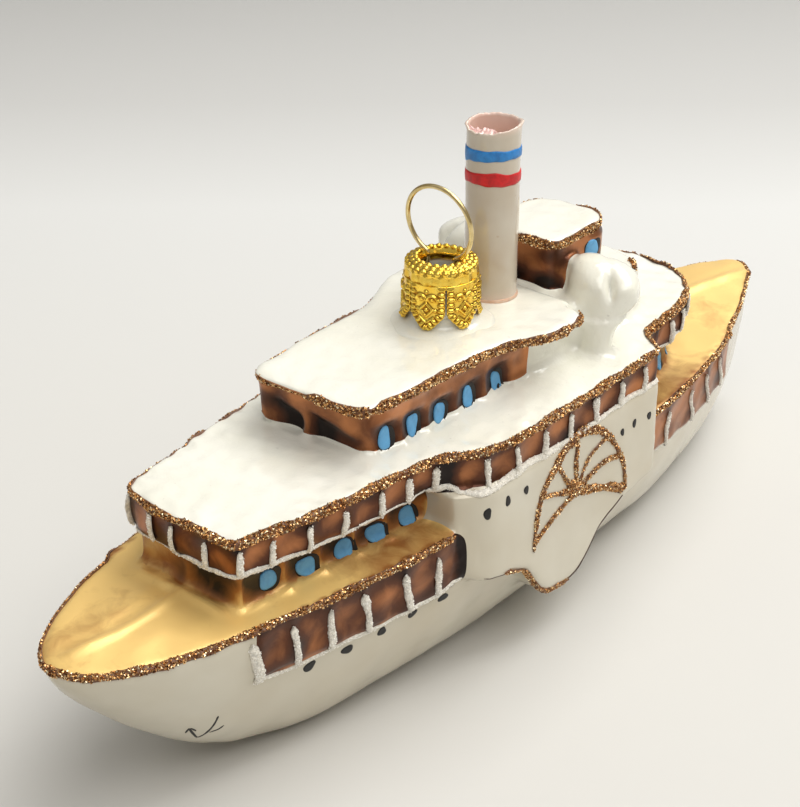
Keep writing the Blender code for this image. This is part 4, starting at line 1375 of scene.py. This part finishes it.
def lobe_height(a, b):
    a = np.abs(a)
    place, away = plan_distance(LOBE_SIDE, a, b)
    step = ((place / BORDER_STEP) % 1.0 - 0.5) * BORDER_STEP
    total = bead(np.hypot(step, (away - BORDER_IN) * SLOPE), 0.3, 0.32)
    lozenge = a / 0.85 + np.abs(b - LOZENGE_AT) / 0.9
    total += ridge_line((lozenge - 1.0) * SLOPE, 0.15, 0.28)
    total += bead(np.hypot(a, b - LOZENGE_AT), 0.27, 0.3)
    arch = np.hypot(a - 0.75, b - 1.95)
    total += np.where(b < 2.05, ridge_line(arch - 0.68, 0.16, 0.32), 0.0)
    chevron = (b - 5.05 + 0.8 * a) * 0.78
    total += np.where(a < 1.0, ridge_line(chevron, 0.13, 0.22), 0.0)
    for da, db in LOBE_BEADS:
        total += bead(np.hypot(a - da, b - db), 0.25, 0.28)
    return total

print("stamp heights", lobe_height(np.array([0.0, 2.0]), np.array([3.15, 1.0])).round(2))

# %% Cap dome
DOME_STEPS = 300

def cap_dome():
    curve = evenly(DOME_CURVE, 0.1)
    arc = along_plan(curve)
    along = np.gradient(curve, axis=0)
    facing = unit(np.column_stack([-along[:, 1], along[:, 0]]))
    inner = (curve - facing * SHEET)[::-1]
    verts = []
    for s in range(DOME_STEPS):
        turn = 2 * math.pi * s / DOME_STEPS
        outer = curve + facing * dome_height(turn, arc, curve[:, 0])[:, None]
        r, h = np.vstack([outer, inner]).T
        verts.append(np.column_stack([CAP_X + r * math.cos(turn), r * math.sin(turn), h]))
    faces = ring_quads(DOME_STEPS, len(verts[0]), closed=True, flip=True)
    return np.vstack(verts), faces

# %% Cap lobes
COLUMNS, ROWS = 58, 66
LOBE_MIDDLES = (16, 76, 136, 196, 256, 316)
LOBE_R, BEND_R, LOBE_FLARE, SHOULDER, SHOULDER_HALF = 4.9, 4.97, 0.14, 0.45, 2.6

def lobe_faces():
    number = np.arange(ROWS * COLUMNS).reshape(ROWS, COLUMNS)
    count = number.size
    corners = (number[:-1, :-1], number[:-1, 1:], number[1:, 1:], number[1:, :-1])
    faces = []
    for a, b, c, d in zip(*(corner.ravel().tolist() for corner in corners)):
        faces += [(a, d, c, b), (count + a, count + b, count + c, count + d)]
    rim = np.concatenate([number[0], number[1:, -1], number[-1, -2::-1], number[-2:0:-1, 0]]).tolist()
    faces += [(a, b, count + b, count + a) for a, b in zip(rim, rim[1:] + rim[:1])]
    return faces

def cap_lobe(middle):
    grid_u, grid_v = np.meshgrid(np.linspace(-1.0, 1.0, COLUMNS), np.linspace(0.0, 1.0, ROWS))
    down = (LOBE_TOP - LOBE_TIP) * grid_v
    half = np.interp(down, LOBE_SIDE[:, 1], LOBE_SIDE[:, 0])
    a = np.where(down < SHOULDER, SHOULDER_HALF, half) * grid_u
    turn = math.radians(middle) + a / BEND_R
    flare = LOBE_R + LOBE_FLARE * grid_v ** 2
    sheets = []
    for r in (flare + lobe_height(a, down) * np.clip(grid_v * 8.0, 0, 1), flare - SHEET):
        sheet = [CAP_X + r * np.cos(turn), r * np.sin(turn), LOBE_TOP - down]
        sheets.append(np.stack(sheet, 2).reshape(-1, 3))
    return np.vstack(sheets), lobe_faces()

def brass_material(name, worn, bright, rough, stamped):
    mat = new_material(name, bright, rough, 1.0)
    wear = noise(mat, 900.0, 3.0)
    tone = two_tones(mat, wear, worn, bright, high=0.65)
    if stamped:
        # Painted shade: where the stamping is sunk, pointiness picks a darker brass tone for the hollows.
        pointed = add_node(mat, "ShaderNodeNewGeometry").outputs["Pointiness"]
        stamped_hollow_shade = two_tones(mat, pointed, WHITE, BLACK, 0.455, 0.505)
        dark = two_tones(mat, wear, (0.30, 0.12, 0.01), (0.42, 0.19, 0.02), 0.0, 1.0)
        tone = mixed(mat, stamped_hollow_shade, tone, dark)
    coloured(mat, tone)
    rough_between(mat, wear, rough, rough + 0.12)
    return mat

cap_brass = brass_material("cap_brass", (0.92, 0.56, 0.06), (1.0, 0.74, 0.13), 0.13, True)
verts, faces = joined([cap_dome()] + [cap_lobe(middle) for middle in LOBE_MIDDLES])
belongs(mesh_object("crown_cap", verts, faces, cap_brass), "cap", "cap", "cap_crown")
print("cap faces", len(faces))

# %% [markdown]
# ## Wire loop
# One brass wire is bent into a ring, and its two legs go down through the hole of the cap and spring apart
# inside the neck. The ring leans a little towards the bow.

# %% Wire loop
LOOP_R, LOOP_Z, LEG, FOOT_Z, WIRE_R = 5.05, 54.95, 2.2, 49.6, 0.32
LOOP_TURN, LOOP_LEAN = math.radians(-89.0), math.tan(math.radians(5.8))
LEG_BENDS = [(2.6, 39.8), (2.6, 44.0), (2.35, 48.2), (LEG, FOOT_Z)]
WIRE_SIDES, LOOP_STEPS = 18, 80

def wire_middle():
    start = math.degrees(math.acos(-LEG / LOOP_R))
    path = [(-u, h) for u, h in LEG_BENDS]
    for i in range(LOOP_STEPS + 1):
        turn = math.radians(-start - (540.0 - 2 * start) * i / LOOP_STEPS)
        path.append((LOOP_R * math.cos(turn), LOOP_Z + LOOP_R * math.sin(turn)))
    return np.array(path + LEG_BENDS[::-1])

def wire_tube():
    path = wire_middle()
    along = unit(np.gradient(path, axis=0))
    across = np.column_stack([along[:, 1], -along[:, 0]])
    rings = []
    for s in range(WIRE_SIDES):
        turn = 2 * math.pi * s / WIRE_SIDES
        u = path[:, 0] + across[:, 0] * WIRE_R * math.cos(turn)
        h = path[:, 1] + across[:, 1] * WIRE_R * math.cos(turn)
        w = WIRE_R * math.sin(turn) + np.maximum(path[:, 1] - FOOT_Z, 0.0) * LOOP_LEAN
        rings.append(np.column_stack([
            CAP_X + u * math.cos(LOOP_TURN) - w * math.sin(LOOP_TURN),
            u * math.sin(LOOP_TURN) + w * math.cos(LOOP_TURN), h]))
    verts = np.stack(rings, 1).reshape(-1, 3)
    ends = [tuple(range(WIRE_SIDES)), tuple(range(len(verts) - WIRE_SIDES, len(verts)))[::-1]]
    return verts, ends + ring_quads(len(path), WIRE_SIDES)

verts, faces = wire_tube()
wire_brass = brass_material("wire_brass", (0.62, 0.47, 0.20), (0.78, 0.63, 0.33), 0.14, False)
belongs(mesh_object("wire_loop", verts, faces, wire_brass), "hanger", "wire", "hanger")
print("wire points", len(verts))

# %% [markdown]
# ## Floor and light
# The photograph has a plain pale sweep and soft light from above and behind. One large soft lamp high above
# the stern gives the window-like highlights, a weaker one hangs over the port side, and a pale world lights
# the rest.

# %% Floor
# Painted shade: the sweep's colour darkens towards the back and up the wall, in place of the light falling
# off, and a little towards the camera.
SWEEP_SHADE_TONES = [
    (0.0, (0.41, 0.41, 0.40)), (0.25, (0.53, 0.53, 0.52)), (0.4, (0.66, 0.665, 0.655)),
    (0.62, (0.655, 0.65, 0.625)), (1.0, (0.63, 0.62, 0.59)),
]
NEAR_END, FAR_BEND, BEND_SIZE, WALL_TOP, HALF_WIDE, FLOOR_DROP = 700.0, -420.0, 260.0, 1100.0, 1100.0, 0.02
TONES_FROM, TONES_TO = -0.30, 0.12

def floor_material():
    mat = new_material("pale_floor", (0.72, 0.71, 0.69), 0.75)
    both = {0: object_place(mat), 1: (math.cos(HEADING), math.sin(HEADING), 0.0)}
    near = add_node(mat, "ShaderNodeVectorMath", both, operation="DOT_PRODUCT")
    limits = {"From Min": TONES_FROM, "From Max": TONES_TO, "Value": near.outputs["Value"]}
    spread = add_node(mat, "ShaderNodeMapRange", limits)
    coloured(mat, ramp(mat, spread.outputs["Result"], SWEEP_SHADE_TONES))
    return mat

def sweep():
    profile = [(NEAR_END, 0.0), (FAR_BEND, 0.0)]
    profile += [(FAR_BEND - BEND_SIZE * math.sin(t), BEND_SIZE - BEND_SIZE * math.cos(t))
                for t in np.linspace(0.1, 1.5, 12)]
    profile.append((FAR_BEND - BEND_SIZE - 10.0, WALL_TOP))
    along = np.array((math.cos(HEADING), math.sin(HEADING)))
    across = np.array((-along[1], along[0]))
    verts = []
    for far, height in profile:
        for w in (-HALF_WIDE, HALF_WIDE):
            verts.append((*(along * far + across * w), height - FLOOR_DROP))
    faces = [(2 * i, 2 * i + 1, 2 * i + 3, 2 * i + 2) for i in range(len(profile) - 1)]
    return np.array(verts), faces

floor = mesh_object("floor", *sweep(), floor_material())
print("floor ready")

# %% Lights
WORLD_TONES = [(0.0, (0.62, 0.57, 0.50)), (0.9, (1.15, 1.13, 1.10))]
WORLD_STRENGTH = 0.46

def area_light(name, place, target, size, power, colour):
    data = bpy.data.lights.new(name, "AREA")
    data.shape = "RECTANGLE"
    data.size, data.size_y = size
    data.energy = power
    data.color = colour
    light = bpy.data.objects.new(name, data)
    light.location = Vector(place)
    light.rotation_euler = (Vector(target) - Vector(place)).to_track_quat("-Z", "Y").to_euler()
    bpy.context.scene.collection.objects.link(light)

def pale_world():
    world = bpy.data.worlds.new("pale_world")
    world.use_nodes = True
    generated = add_node(world, "ShaderNodeTexCoord").outputs["Generated"]
    parts = add_node(world, "ShaderNodeSeparateXYZ", {0: generated})
    background = world.node_tree.nodes["Background"].inputs
    feed(world, background["Color"], ramp(world, parts.outputs["Z"], WORLD_TONES))
    feed(world, background["Strength"], WORLD_STRENGTH)
    return world

AIM = (0.0, 0.0, 0.02)
area_light("window", (-0.45, 0.10, 0.78), AIM, (0.75, 0.6), 6.4, (1.0, 0.985, 0.955))
area_light("ceiling", (0.12, 0.45, 0.85), AIM, (0.9, 0.6), 3.9, (1.0, 0.975, 0.94))
bpy.context.scene.world = pale_world()
bpy.context.scene.view_settings.view_transform = "Standard"
print("lights ready")
